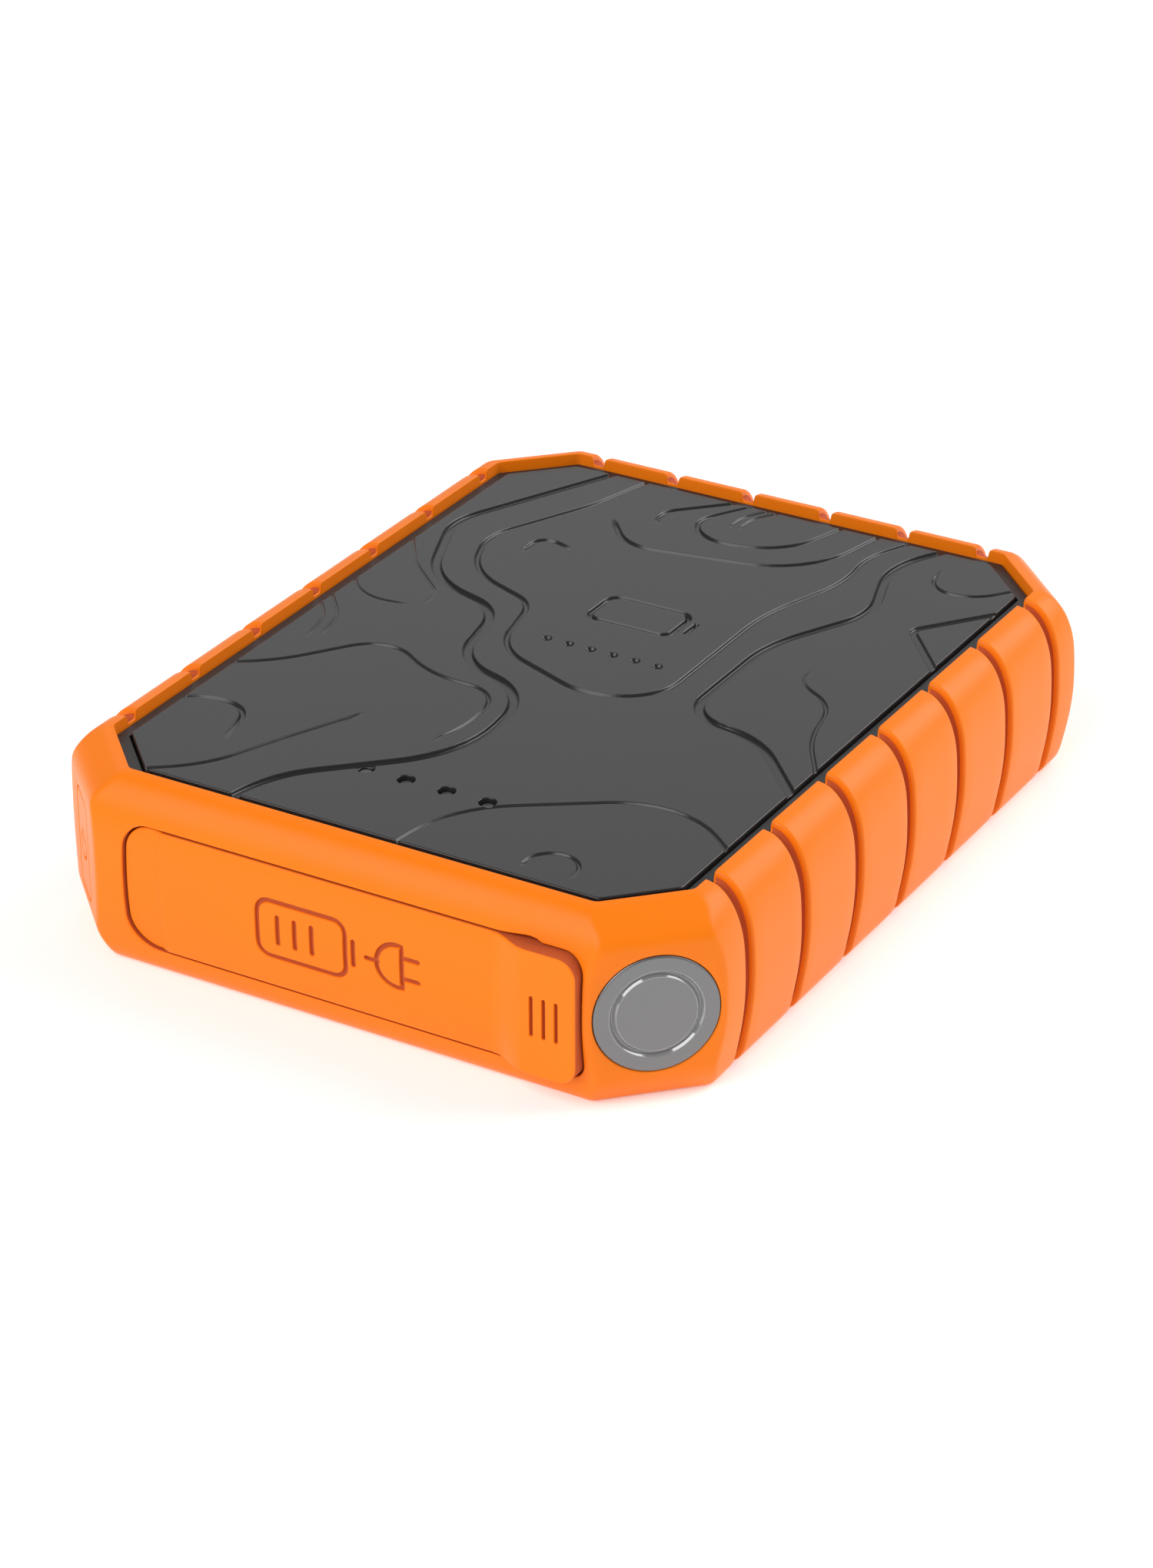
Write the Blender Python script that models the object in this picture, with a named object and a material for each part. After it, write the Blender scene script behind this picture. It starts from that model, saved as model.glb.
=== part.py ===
"""Rugged power bank: a sealed eight-sided housing in a ribbed rubber sleeve.

Frame: the origin is at the centre of the sleeve's plan, on the surface it rests on.
+X runs across the width, +Y towards the back (the ports face -Y) and +Z is up.
Sizes below are in millimetres; point lists become metres as each mesh is made.
"""
import math

import bmesh
import bpy
from mathutils import Matrix, Vector

MM = 0.001
GAP = 0.3                      # clearance between pieces that touch

# Plan: an eight-sided outline, given at the sleeve's top opening.
RIM_X = 44.0                   # half width
RIM_Y = 58.0                   # half length
RIM_CHAMFER = 8.9              # leg of each 45 degree corner
LEG_GROWTH = 1 - math.tan(math.radians(22.5))

# Heights.
HEIGHT = 27.0
MIDDLE = 13.1                  # centre of the torch, the power key and the hinge
FLOOR = (3.5, 4.8)
CEILING = (22.2, 23.5)
TUB_TOP = 21.4
SEAL = (21.7, 22.4)
SEAL_EDGES = (0.3, 1.5)
LID_SHOULDER = (22.7, 23.7)
BORDER = (0.3, 25.3)           # lowest and highest point of the housing's border
TOP_PANEL = (23.8, 26.0)
BOTTOM_PANEL = (1.7, 3.2)

# Offsets from the rim outline, outwards.
SLEEVE_INSIDE = 2.0
HOUSING_OUTSIDE = 1.7
HOUSING_INSIDE = 0.1
BORDER_OUTSIDE = -0.3
BORDER_INSIDE = -1.9
PANEL_EDGE = -2.2

# Outer face of the sleeve: its swell, how square its shoulder is, and its foot.
SWELL = 6.0                    # widest offset
SWELL_HEIGHT = 13.6
SHOULDER_POWER = 2.7
SHOULDER_STEPS = 5
BELLY_RADIUS = 45.0
BELLY_LEVELS = (9.0, 4.5, 1.6)
FOOT_OFFSET = 3.3


def sleeve_face():
    """Outer face from the rim down: a superellipse shoulder, a shallow belly, the foot: (offset, z)."""
    face = []
    for step in range(SHOULDER_STEPS + 1):
        turn = math.radians(90 * step / SHOULDER_STEPS)
        rise = max(0.0, math.cos(turn)) ** (2 / SHOULDER_POWER)
        face.append((SWELL * math.sin(turn), SWELL_HEIGHT + (HEIGHT - SWELL_HEIGHT) * rise))
    for z in BELLY_LEVELS:
        face.append((SWELL - (SWELL_HEIGHT - z) ** 2 / (2 * BELLY_RADIUS), z))
    return face + [(FOOT_OFFSET, 0.0)]


SLEEVE_FACE = sleeve_face()
LIP = 3.0                      # height of the sleeve's lips over the housing's edges

# Grooves between the ribs.
GROOVE_DEPTH = 1.4
GROOVE_MOUTH = 2.6
GROOVE_BED = 1.6
SIDE_GROOVES = 7
SIDE_PITCH = 15.0
BACK_GROOVES = 6
BACK_PITCH = 12.7

# Port cover, on the front: a flush panel, a sunken strap and a raised pull tab.
COVER_LEFT = -32.5
COVER_RIGHT = 36.2
COVER_LOW = 4.0
COVER_HIGH = 21.8
COVER_BACK = -61.6
STRAP_SINK = 0.5
STRAP_END = (-27.4, -26.9)     # the cover's face comes up to the sleeve's here
TAB_FACE = 7.2                 # offset of the tab's flat face
TAB_START = 23.9
TAB_LENGTH = 4.2
TAB_ROUND = 2.0
HINGE_X = -29.75
HINGE_Y = -63.4
HINGE_GAP = 0.5
SEAT_CORNER = 3.5
SEAL_LIP = (1.1, 0.5)          # how far the cover's lip stands in, and how far it is let in
SEAL_LIP_WIDTH = 1.4
BAY = (-26.0, 32.5, 7.4, 19.6)  # the way through to the ports: x, x, z, z
BAY_BACK = -56.9
BAY_WALL = 1.2
BAY_CORNER = 2.0

# Ports and the main board.
PORT_FACE = -56.7
USB_A_X = (-15.5, 3.0)
USB_A_SIZE = (13.2, 6.0, 14.0)  # width, height, depth
USB_A_WALL = 0.4
USB_C_X = 19.5
USB_C_SIZE = (9.0, 3.3, 8.0)
USB_C_WALL = 0.35
BOARD_LOW = (-27.5, -55.4, 8.7)
BOARD_HIGH = (29.5, -36.0, 10.3)
BOARD_SCREW_HOLE = 1.1
BOARD_SCREW_FOOT = 5.9
CASE_SCREW_TIP = 18.2
PORT_FOOT = BOARD_HIGH[2] + GAP
COIL = ((15.0, -47.5), (23.0, -39.5), 4.0)   # two corners, and its height
CAPACITORS = (26.0, -24.8)
CAPACITOR_Y = -45.0
CONTROLLER = ((-8.5, -49.5), (-1.5, -42.5), 1.0)

# Torch, on the front right corner face: radii, and places along its axis.
TORCH_RING = 8.25
TORCH_FRONT = 5.8
TORCH_RING_BACK = 5.0          # the ring's flange is thin; a narrower neck is behind it
TORCH_NECK = 6.3
TORCH_LENS = 5.6
TORCH_SEAT = 4.2               # where the lens rests in the ring
TORCH_STEP = 5.0
TORCH_CUP = 4.7
TORCH_CUP_BACK = -5.0
TORCH_BOARD = (-7.0, -6.0)

# Power key, on the front left corner face.
KEY_WIDTH = 7.3
KEY_HEIGHT = 14.5
KEY_CORNER = 1.4
KEY_FRONT = 5.75
KEY_TRAVEL = 0.6
STEM_RADIUS = 1.3
STEM_END = -1.0
SWITCH_BODY = (-4.6, -2.3)

# Charge lights, in the top panel.
LIGHT_COUNT = 4
LIGHT_PITCH = 6.2
LIGHT_X = -9.3
LIGHT_Y = -41.3
LIGHT_HOLE = 1.2
GUIDE_RADIUS = 0.9
GUIDE_BAR = (20.0, 21.8)
GUIDE_FOOT = 11.8
GUIDE_TOP = 25.4

# Cells: two flat pouches, one on the other, with pads and a tape between.
CELL_X = 33.0
CELL_Y = (-31.0, 55.0)
CELL_THICK = 7.0
CELL_TAB = (2.0, 1.6, 0.3)     # half width, length and thickness of a metal tab
CELL_TAB_X = 8.0
PAD_THICK = 0.6
TAPE_THICK = 0.4
SAFETY_BOARD = (14.0, 7.5, 19.5)   # half width, and its lower and upper edge
SAFETY_THICK = 1.0
LEAD_X = (11.6, -13.4)
LEAD_RADIUS = 0.55
LEAD_TOP = 14.0

# Screws: (x, y) of the four case screws and of the two board screws.
CASE_SCREWS = [(39.5, -39.0), (-39.5, -39.0), (39.0, 49.0), (-39.0, 49.0)]
BOARD_SCREWS = [(-24.5, -39.0), (26.5, -39.0)]
POST_RADIUS = 3.0
POST_SPLIT = 12.0
POST_FOOT = 4.0
POST_TOP = 23.0
BOARD_POST_RADIUS = 2.4
HEAD_BORE = 2.5
HEAD_SEAT = 6.5
SHANK_BORE = 1.5

# How far cutters reach, so that each runs well past the material it cuts.
CUT_FRONT = 70.0
SLEEVE_CUT = (59.0, 63.0)
CORNER_CUT = (1.0, 9.0)
WALL_CUT = (-2.0, 3.0)
GROOVE_CUT = 3.0

ORANGE = (1.0, 0.25, 0.04)
BLACK = (0.03, 0.03, 0.032)
GREY = (0.075, 0.075, 0.08)
STEEL = (0.6, 0.6, 0.62)
SCREW = (0.45, 0.45, 0.47)
GREEN = (0.02, 0.18, 0.07)


# ---------------------------------------------------------------- mesh helpers

def clear_scene():
    for obj in list(bpy.data.objects):
        bpy.data.objects.remove(obj, do_unlink=True)


def paint(obj, colour, roughness=0.5, metallic=0.0):
    """Give the object a Principled material of its own."""
    material = bpy.data.materials.new(obj.name)
    material.use_nodes = True
    shader = material.node_tree.nodes["Principled BSDF"]
    shader.inputs["Base Color"].default_value = (*colour, 1.0)
    shader.inputs["Roughness"].default_value = roughness
    shader.inputs["Metallic"].default_value = metallic
    obj.data.materials.append(material)


def add_loft(shape, rings, closed):
    """Skin a list of equal rings of points, capped at both ends unless it is closed."""
    rows = [[shape.verts.new(Vector(p) * MM) for p in ring] for ring in rings]
    following = rows[1:] + rows[:1] if closed else rows[1:]
    for row, after in zip(rows, following):
        for i in range(len(row)):
            j = (i + 1) % len(row)
            shape.faces.new((row[i], row[j], after[j], after[i]))
    if not closed:
        shape.faces.new(list(reversed(rows[0])))
        shape.faces.new(rows[-1])


def finish(name, shape, smooth=None):
    """Turn a bmesh into a linked object with its faces pointing out."""
    bmesh.ops.recalc_face_normals(shape, faces=shape.faces)
    mesh = bpy.data.meshes.new(name)
    shape.to_mesh(mesh)
    shape.free()
    if smooth is not None:
        mesh.shade_smooth()
        mesh.set_sharp_from_angle(angle=math.radians(smooth))
    obj = bpy.data.objects.new(name, mesh)
    bpy.context.scene.collection.objects.link(obj)
    return obj


def loft(name, rings, closed=False, smooth=None):
    shape = bmesh.new()
    add_loft(shape, rings, closed)
    return finish(name, shape, smooth)


def combine(obj, other, operation):
    """Add a Boolean with another object, which is then hidden."""
    modifier = obj.modifiers.new(other.name, "BOOLEAN")
    modifier.operation = operation
    modifier.solver = "EXACT"
    modifier.object = other
    other.hide_render = True
    other.display_type = "WIRE"


def cut(obj, cutter):
    combine(obj, cutter, "DIFFERENCE")


def join(obj, addition):
    combine(obj, addition, "UNION")


def put_origin(obj, point):
    """Move the object's origin to a point, leaving its shape where it is."""
    place = Vector(point) * MM
    obj.data.transform(Matrix.Translation(-place))
    obj.location = place


# ------------------------------------------------------------- shapes in space

def octagon(offset, z):
    """The eight corners of the plan outline, moved outwards by offset, at one height."""
    half_x = RIM_X + offset
    half_y = RIM_Y + offset
    leg = RIM_CHAMFER + offset * LEG_GROWTH
    quarter = [(half_x, half_y - leg), (half_x - leg, half_y)]
    corners = quarter + [(-x, y) for x, y in reversed(quarter)]
    corners += [(-x, -y) for x, y in quarter] + [(x, -y) for x, y in reversed(quarter)]
    return [(x, y, z) for x, y in corners]


def box(name, low, high):
    corners = [(low[0], low[1]), (high[0], low[1]), (high[0], high[1]), (low[0], high[1])]
    return loft(name, [[(x, y, z) for x, y in corners] for z in (low[2], high[2])])


def axes_at(origin, across, up, out):
    """A frame whose local x, y and z are the three directions, for shapes made flat."""
    turn = Matrix((across, up, out)).transposed().to_4x4()
    return Matrix.Translation(Vector(origin)) @ turn


def placed(frame, points):
    return [tuple(frame @ Vector(p)) for p in points]


def circle(radius, steps):
    angles = [math.tau * i / steps for i in range(steps)]
    return [(radius * math.cos(a), radius * math.sin(a)) for a in angles]


def rounded(width, height, radius, steps=5):
    """Outline of a rectangle with round corners, centred on the origin."""
    points = []
    for quadrant in range(4):
        middle = math.radians(45 + 90 * quadrant)
        centre_x = math.copysign(width / 2 - radius, math.cos(middle))
        centre_y = math.copysign(height / 2 - radius, math.sin(middle))
        for i in range(steps):
            angle = math.radians(90 * (quadrant + i / (steps - 1)))
            points.append((centre_x + radius * math.cos(angle),
                           centre_y + radius * math.sin(angle)))
    return points


def prism(name, frame, outline, low, high, smooth=None):
    """An outline drawn across the frame's z axis, made solid from low to high."""
    rings = [placed(frame, [(x, y, t) for x, y in outline]) for t in (low, high)]
    return loft(name, rings, smooth=smooth)


def turned(name, frame, profile, steps=32, closed=False):
    """A profile of (radius, distance) turned about the frame's z axis."""
    rings = [placed(frame, [(x, y, t) for x, y in circle(r, steps)]) for r, t in profile]
    return loft(name, rings, closed=closed, smooth=40)


def corner_frame(side):
    """Frame on a front corner face: x across it, z outwards, at the rim outline."""
    centre_x = side * (RIM_X - RIM_CHAMFER / 2)
    centre_y = -(RIM_Y - RIM_CHAMFER / 2)
    half = math.sqrt(0.5)
    out = Vector((side * half, -half, 0))
    up = Vector((0, 0, 1))
    return axes_at((centre_x, centre_y, MIDDLE), up.cross(out), up, out)


UPRIGHT = Matrix.Identity(4)
FRONT = axes_at((0, 0, 0), Vector((1, 0, 0)), Vector((0, 0, 1)), Vector((0, -1, 0)))


# ---------------------------------------------------------------------- sleeve

def normals_along(points):
    """Outward normal at each point of a profile that runs from the rim to the base."""
    normals = []
    for i in range(len(points)):
        before = points[max(i - 1, 0)]
        after = points[min(i + 1, len(points) - 1)]
        along = Vector((after[0] - before[0], after[1] - before[1])).normalized()
        normals.append((-along.y, along.x))
    return normals


def groove_rings(place):
    """Sections of one groove cutter; place(offset, along, z) puts a point on a wall."""
    first, last = SLEEVE_FACE[0], SLEEVE_FACE[-1]
    path = [(first[0] - 1.5, first[1] + 0.3)] + SLEEVE_FACE + [(last[0] - 1.0, -1.5)]
    rings = []
    for (offset, z), (out, up) in zip(path, normals_along(path)):
        levels = [(GROOVE_CUT, GROOVE_MOUTH), (0.0, GROOVE_MOUTH), (-GROOVE_DEPTH, GROOVE_BED)]
        half = [(offset + out * h, w / 2, z + up * h) for h, w in levels]
        ring = half + [(o, -along, height) for o, along, height in reversed(half)]
        rings.append([place(*point) for point in ring])
    return rings


def groove_cutter():
    """All the grooves of both sides and the back, as one cutter."""
    shape = bmesh.new()
    for i in range(SIDE_GROOVES):
        middle = (i - (SIDE_GROOVES - 1) / 2) * SIDE_PITCH
        for side in (1, -1):
            add_loft(shape, groove_rings(
                lambda o, a, z: (side * (RIM_X + o), middle + a, z)), closed=False)
    for i in range(BACK_GROOVES):
        middle = (i - (BACK_GROOVES - 1) / 2) * BACK_PITCH
        add_loft(shape, groove_rings(
            lambda o, a, z: (middle + a, RIM_Y + o, z)), closed=False)
    return finish("groove_cutter", shape)


def bay_outline(margin=0.0, corner=BAY_CORNER):
    """Outline of the way through to the ports, seen from the front, and its frame."""
    left, right, low, high = BAY
    frame = FRONT @ Matrix.Translation(((left + right) / 2, (low + high) / 2, 0))
    width = right - left + 2 * margin
    height = high - low + 2 * margin
    return frame, rounded(width, height, corner)


def seat_cutter():
    """The pocket that the port cover lies in."""
    middle_x = (COVER_LEFT + COVER_RIGHT) / 2
    middle_z = (COVER_LOW + COVER_HIGH) / 2
    frame = FRONT @ Matrix.Translation((middle_x, middle_z, 0))
    width = COVER_RIGHT - COVER_LEFT + 2 * GAP
    height = COVER_HIGH - COVER_LOW + 2 * GAP
    outline = rounded(width, height, SEAT_CORNER)
    return prism("seat_cutter", frame, outline, -COVER_BACK - GAP, CUT_FRONT)


def make_sleeve():
    inside = [(0.0, 0.0), (0.0, LIP), (SLEEVE_INSIDE, LIP)]
    inside += [(SLEEVE_INSIDE, HEIGHT - LIP), (0.0, HEIGHT - LIP)]
    profile = SLEEVE_FACE + inside
    sleeve = loft("rubber_bumper", [octagon(o, z) for o, z in profile], closed=True)
    cut(sleeve, groove_cutter())
    cut(sleeve, seat_cutter())
    frame, outline = bay_outline()
    cut(sleeve, prism("bay_cutter", frame, outline, *SLEEVE_CUT))
    step = TORCH_RING_BACK - GAP
    hole = [(TORCH_NECK + GAP, CORNER_CUT[0]), (TORCH_NECK + GAP, step),
            (TORCH_RING + GAP, step), (TORCH_RING + GAP, CORNER_CUT[1])]
    cut(sleeve, turned("torch_cutter", corner_frame(1), hole))
    key_hole = rounded(KEY_WIDTH + 2 * GAP, KEY_HEIGHT + 2 * GAP, KEY_CORNER + GAP)
    cut(sleeve, prism("key_cutter", corner_frame(-1), key_hole, *CORNER_CUT))
    paint(sleeve, ORANGE, 0.45)


# --------------------------------------------------------------------- housing

def add_posts(body, low, high, name):
    for i, (x, y) in enumerate(CASE_SCREWS):
        frame = Matrix.Translation((x, y, 0))
        join(body, turned(f"{name}_{i}", frame, [(POST_RADIUS, low), (POST_RADIUS, high)], 16))


def make_lower_housing():
    """The deep tub, with the port pocket, the posts and the corner openings."""
    path = [(BORDER_INSIDE, FLOOR[0]), (BORDER_INSIDE, BORDER[0]), (BORDER_OUTSIDE, BORDER[0]),
            (BORDER_OUTSIDE, LIP + GAP), (HOUSING_OUTSIDE, LIP + GAP),
            (HOUSING_OUTSIDE, TUB_TOP), (HOUSING_INSIDE, TUB_TOP), (HOUSING_INSIDE, FLOOR[1])]
    tub = loft("lower_housing", [octagon(o, z) for o, z in path])
    add_posts(tub, POST_FOOT, POST_SPLIT, "lower_post")
    for i, (x, y) in enumerate(BOARD_SCREWS):
        post = [(BOARD_POST_RADIUS, POST_FOOT), (BOARD_POST_RADIUS, BOARD_LOW[2] - GAP)]
        join(tub, turned(f"board_post_{i}", Matrix.Translation((x, y, 0)), post, 16))
    frame, outline = bay_outline(margin=BAY_WALL)
    join(tub, prism("pocket_block", frame, outline, -BAY_BACK - BAY_WALL, SLEEVE_CUT[0]))
    frame, outline = bay_outline()
    cut(tub, prism("pocket_cutter", frame, outline, -BAY_BACK, SLEEVE_CUT[1]))
    cut_port_windows(tub)
    cut(tub, turned("torch_bore", corner_frame(1), [(TORCH_STEP, t) for t in WALL_CUT]))
    stem_bore = STEM_RADIUS + 2 * GAP
    cut(tub, turned("stem_bore", corner_frame(-1), [(stem_bore, t) for t in WALL_CUT], 20))
    for i, (x, y) in enumerate(CASE_SCREWS):
        bore = [(HEAD_BORE, FLOOR[0] - 0.5), (HEAD_BORE, HEAD_SEAT), (SHANK_BORE, HEAD_SEAT),
                (SHANK_BORE, POST_SPLIT + 1)]
        cut(tub, turned(f"lower_bore_{i}", Matrix.Translation((x, y, 0)), bore, 16))
    for i, (x, y) in enumerate(BOARD_SCREWS):
        bore = [(BOARD_SCREW_HOLE, BOARD_SCREW_FOOT - 0.5), (BOARD_SCREW_HOLE, BOARD_LOW[2] + 0.3)]
        cut(tub, turned(f"board_bore_{i}", Matrix.Translation((x, y, 0)), bore, 12))
    paint(tub, BLACK, 0.5)


def cut_port_windows(tub):
    windows = [(x, USB_A_SIZE) for x in USB_A_X] + [(USB_C_X, USB_C_SIZE)]
    for i, (x, (width, height, _)) in enumerate(windows):
        low = (x - width / 2 - GAP, BAY_BACK - 1.0, PORT_FOOT - GAP)
        high = (x + width / 2 + GAP, BAY_BACK + BAY_WALL + 1.0, PORT_FOOT + height + GAP)
        cut(tub, box(f"port_window_{i}", low, high))


def make_upper_housing():
    """The lid: its deck carries the top panel, its thin border stands around it."""
    plug = HOUSING_INSIDE - GAP
    path = [(plug, CEILING[0]), (plug, LID_SHOULDER[0]), (HOUSING_OUTSIDE, LID_SHOULDER[0]),
            (HOUSING_OUTSIDE, LID_SHOULDER[1]), (BORDER_OUTSIDE, LID_SHOULDER[1]),
            (BORDER_OUTSIDE, BORDER[1]), (BORDER_INSIDE, BORDER[1]), (BORDER_INSIDE, CEILING[1])]
    lid = loft("upper_housing", [octagon(o, z) for o, z in path])
    add_posts(lid, POST_SPLIT + GAP, POST_TOP, "upper_post")
    for i, (x, y) in enumerate(CASE_SCREWS):
        bore = [(SHANK_BORE, POST_SPLIT - 1), (SHANK_BORE, CASE_SCREW_TIP + 0.8)]
        cut(lid, turned(f"upper_bore_{i}", Matrix.Translation((x, y, 0)), bore, 16))
    for i, x in enumerate(light_places()):
        hole = [(LIGHT_HOLE, CEILING[0] - 1), (LIGHT_HOLE, CEILING[1] + 1)]
        cut(lid, turned(f"deck_hole_{i}", Matrix.Translation((x, LIGHT_Y, 0)), hole, 16))
    paint(lid, BLACK, 0.5)


def make_housing_seal():
    low, high = SEAL
    inner, outer = SEAL_EDGES
    profile = [(inner, low), (outer, low), (outer, high), (inner, high)]
    seal = loft("housing_seal", [octagon(o, z) for o, z in profile], closed=True)
    paint(seal, (0.12, 0.12, 0.12), 0.8)


def make_panels():
    low, high = TOP_PANEL
    top = loft("top_panel", [octagon(PANEL_EDGE, low), octagon(PANEL_EDGE, high)])
    for i, x in enumerate(light_places()):
        hole = [(LIGHT_HOLE, low - 1), (LIGHT_HOLE, high + 1)]
        cut(top, turned(f"panel_hole_{i}", Matrix.Translation((x, LIGHT_Y, 0)), hole, 24))
    paint(top, GREY, 0.45)
    low, high = BOTTOM_PANEL
    bottom = loft("bottom_panel", [octagon(PANEL_EDGE, low), octagon(PANEL_EDGE, high)])
    paint(bottom, GREY, 0.45)


# ------------------------------------------------------------------ port cover

def face_offset(z):
    """Offset of the sleeve's outer face at one height."""
    for (o_high, z_high), (o_low, z_low) in zip(SLEEVE_FACE, SLEEVE_FACE[1:]):
        if z_low <= z <= z_high:
            return o_low + (o_high - o_low) * (z - z_low) / (z_high - z_low)
    raise ValueError("height is outside the sleeve")


def cover_section(x, sink=0.0, lift=0.0, trim=0.0):
    """One section of the cover: it follows the sleeve's face, sunken or lifted to the tab's."""
    low, high = COVER_LOW + trim, COVER_HIGH - trim
    outer = []
    for share in (0.0, 0.3, 0.55, 0.75, 1.0):
        z = low + (high - low) * share
        offset = face_offset(z) - sink
        offset += (TAB_FACE - offset) * lift
        outer.append((x, -(RIM_Y + offset), z))
    return outer + [(x, COVER_BACK, high), (x, COVER_BACK, low)]


def tab_sections():
    """The cover's face rises smoothly to the flat tab, whose end is trimmed round."""
    sections = []
    for step in range(5):
        share = step / 4
        lift = share * share * (3 - 2 * share)
        sections.append(cover_section(TAB_START + TAB_LENGTH * share, lift=lift))
    sections.append(cover_section(COVER_RIGHT - TAB_ROUND, lift=1.0))
    return sections + [cover_section(COVER_RIGHT, lift=1.0, trim=TAB_ROUND)]


def make_port_cover():
    """The cover, from the strap's bend to the pull tab, with a sealing lip behind."""
    first, last = STRAP_END
    sections = [cover_section(HINGE_X + HINGE_GAP / 2, sink=STRAP_SINK),
                cover_section(first, sink=STRAP_SINK), cover_section(last)]
    cover = loft("port_cover", sections + tab_sections())
    reach, root = SEAL_LIP
    frame, outline = bay_outline(margin=-0.4, corner=1.6)
    lip = prism("cover_lip", frame, outline, -COVER_BACK - reach, -COVER_BACK + root)
    frame, outline = bay_outline(margin=-0.4 - SEAL_LIP_WIDTH, corner=1.0)
    cut(lip, prism("lip_cutter", frame, outline, -COVER_BACK - 2 * reach, -COVER_BACK + GAP))
    join(cover, lip)
    put_origin(cover, (HINGE_X, HINGE_Y, MIDDLE))
    paint(cover, ORANGE, 0.45)


def make_hinge_strip():
    """The fixed end of the cover's strap, in the left end of the seat."""
    sections = [cover_section(COVER_LEFT, sink=STRAP_SINK, trim=SEAT_CORNER),
                cover_section(COVER_LEFT + 1.0, sink=STRAP_SINK, trim=1.0),
                cover_section(HINGE_X - HINGE_GAP / 2, sink=STRAP_SINK)]
    paint(loft("cover_hinge_strip", sections), ORANGE, 0.45)


# ----------------------------------------------------------------------- torch

def make_torch():
    frame = corner_frame(1)
    front = TORCH_FRONT
    lens_seat = TORCH_SEAT
    ring = [(TORCH_NECK, 3.0), (TORCH_NECK, TORCH_RING_BACK), (TORCH_RING, TORCH_RING_BACK),
            (TORCH_RING, front - 0.2), (TORCH_RING - 0.2, front), (TORCH_LENS + 0.5, front),
            (TORCH_LENS + GAP, front - 0.2), (TORCH_LENS + GAP, lens_seat),
            (TORCH_STEP, lens_seat), (TORCH_STEP, 3.0)]
    bezel = turned("torch_bezel", frame, ring, 48, closed=True)
    paint(bezel, (0.25, 0.25, 0.26), 0.35, 0.9)
    disc = [(TORCH_LENS, lens_seat + GAP), (TORCH_LENS, front - 0.4),
            (TORCH_LENS - 0.4, front - 0.1), (1.0, front)]
    lens = turned("torch_lens", frame, disc, 48)
    paint(lens, (0.8, 0.82, 0.85), 0.1)
    back = TORCH_CUP_BACK
    cup = [(TORCH_CUP, back + 1), (TORCH_CUP, lens_seat), (TORCH_CUP - 0.4, lens_seat),
           (3.2, 0.0), (1.6, back), (6.0, back), (6.0, back + 1)]
    reflector = turned("torch_reflector", frame, cup, 32, closed=True)
    paint(reflector, (0.85, 0.85, 0.87), 0.1, 1.0)
    low = TORCH_BOARD[1] + GAP
    emitter = turned("torch_led", frame, [(1.2, low), (1.2, low + 0.7), (0.5, low + 1.1)], 16)
    paint(emitter, (0.95, 0.9, 0.55), 0.3)
    board = turned("torch_board", frame, [(6.0, t) for t in TORCH_BOARD], 24)
    paint(board, (0.85, 0.85, 0.85), 0.5)
    gasket = [(TORCH_NECK, 2.0), (TORCH_NECK, 2.7), (5.3, 2.7), (5.3, 2.0)]
    seal = turned("torch_seal", frame, gasket, 32, closed=True)
    paint(seal, (0.05, 0.05, 0.05), 0.8)


# ------------------------------------------------------------------- power key

def key_section(out, height_scale):
    outline = rounded(KEY_WIDTH, KEY_HEIGHT, KEY_CORNER)
    return [(x * height_scale, y * height_scale, out) for x, y in outline]


def make_power_key():
    """The key, its stem, and the small sprung switch that it presses."""
    frame = corner_frame(-1)
    back = HOUSING_OUTSIDE + KEY_TRAVEL + 2 * GAP
    front = KEY_FRONT
    sections = [(back, 1.0), (front - 0.55, 1.0), (front - 0.15, 0.95), (front, 0.8)]
    key = loft("power_button", [placed(frame, key_section(*s)) for s in sections])
    stem = turned("key_stem", frame, [(STEM_RADIUS, STEM_END), (STEM_RADIUS, 3.5)], 16)
    join(key, stem)
    put_origin(key, frame.translation)
    paint(key, ORANGE, 0.45)
    plunger_top = STEM_END - GAP
    plunger = turned("switch_plunger", frame, [(1.2, plunger_top - 2.1), (1.2, plunger_top)], 16)
    put_origin(plunger, frame.translation)
    paint(plunger, (0.04, 0.04, 0.04), 0.5)
    low, high = SWITCH_BODY
    switch = prism("switch_body", frame, rounded(6.0, 6.0, 0.3, 2), low, high)
    cut(switch, turned("plunger_bore", frame, [(1.5, low + 0.4), (1.5, high + 0.3)], 16))
    paint(switch, STEEL, 0.35, 0.9)
    top = low - GAP
    board = prism("button_board", frame, rounded(11.0, 13.0, 0.5, 2), top - 1.0, top)
    paint(board, GREEN, 0.4)


# ----------------------------------------------------------- ports and circuit

def make_usb_a(number, x):
    width, height, depth = USB_A_SIZE
    middle_z = PORT_FOOT + height / 2
    frame = FRONT @ Matrix.Translation((x, middle_z, 0))
    front = -PORT_FACE
    shell = prism(f"usb_a_shell_{number}", frame, rounded(width, height, 0.4, 2),
                  front - depth, front)
    hollow = rounded(width - 2 * USB_A_WALL, height - 2 * USB_A_WALL, 0.2, 2)
    inside = front - depth + USB_A_WALL
    cut(shell, prism(f"usb_a_hollow_{number}", frame, hollow, inside, front + 1))
    paint(shell, STEEL, 0.25, 1.0)
    back = inside + GAP
    block = prism(f"usb_a_tongue_{number}", frame, rounded(11.6, 4.4, 0.2, 2), back, back + 2.5)
    blade_frame = frame @ Matrix.Translation((0, 1.1, 0))
    blade = rounded(11.0, 1.8, 0.2, 2)
    join(block, prism(f"usb_a_blade_{number}", blade_frame, blade, back + 2.0, front - 0.8))
    paint(block, (0.85, 0.86, 0.88), 0.45)


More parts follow.
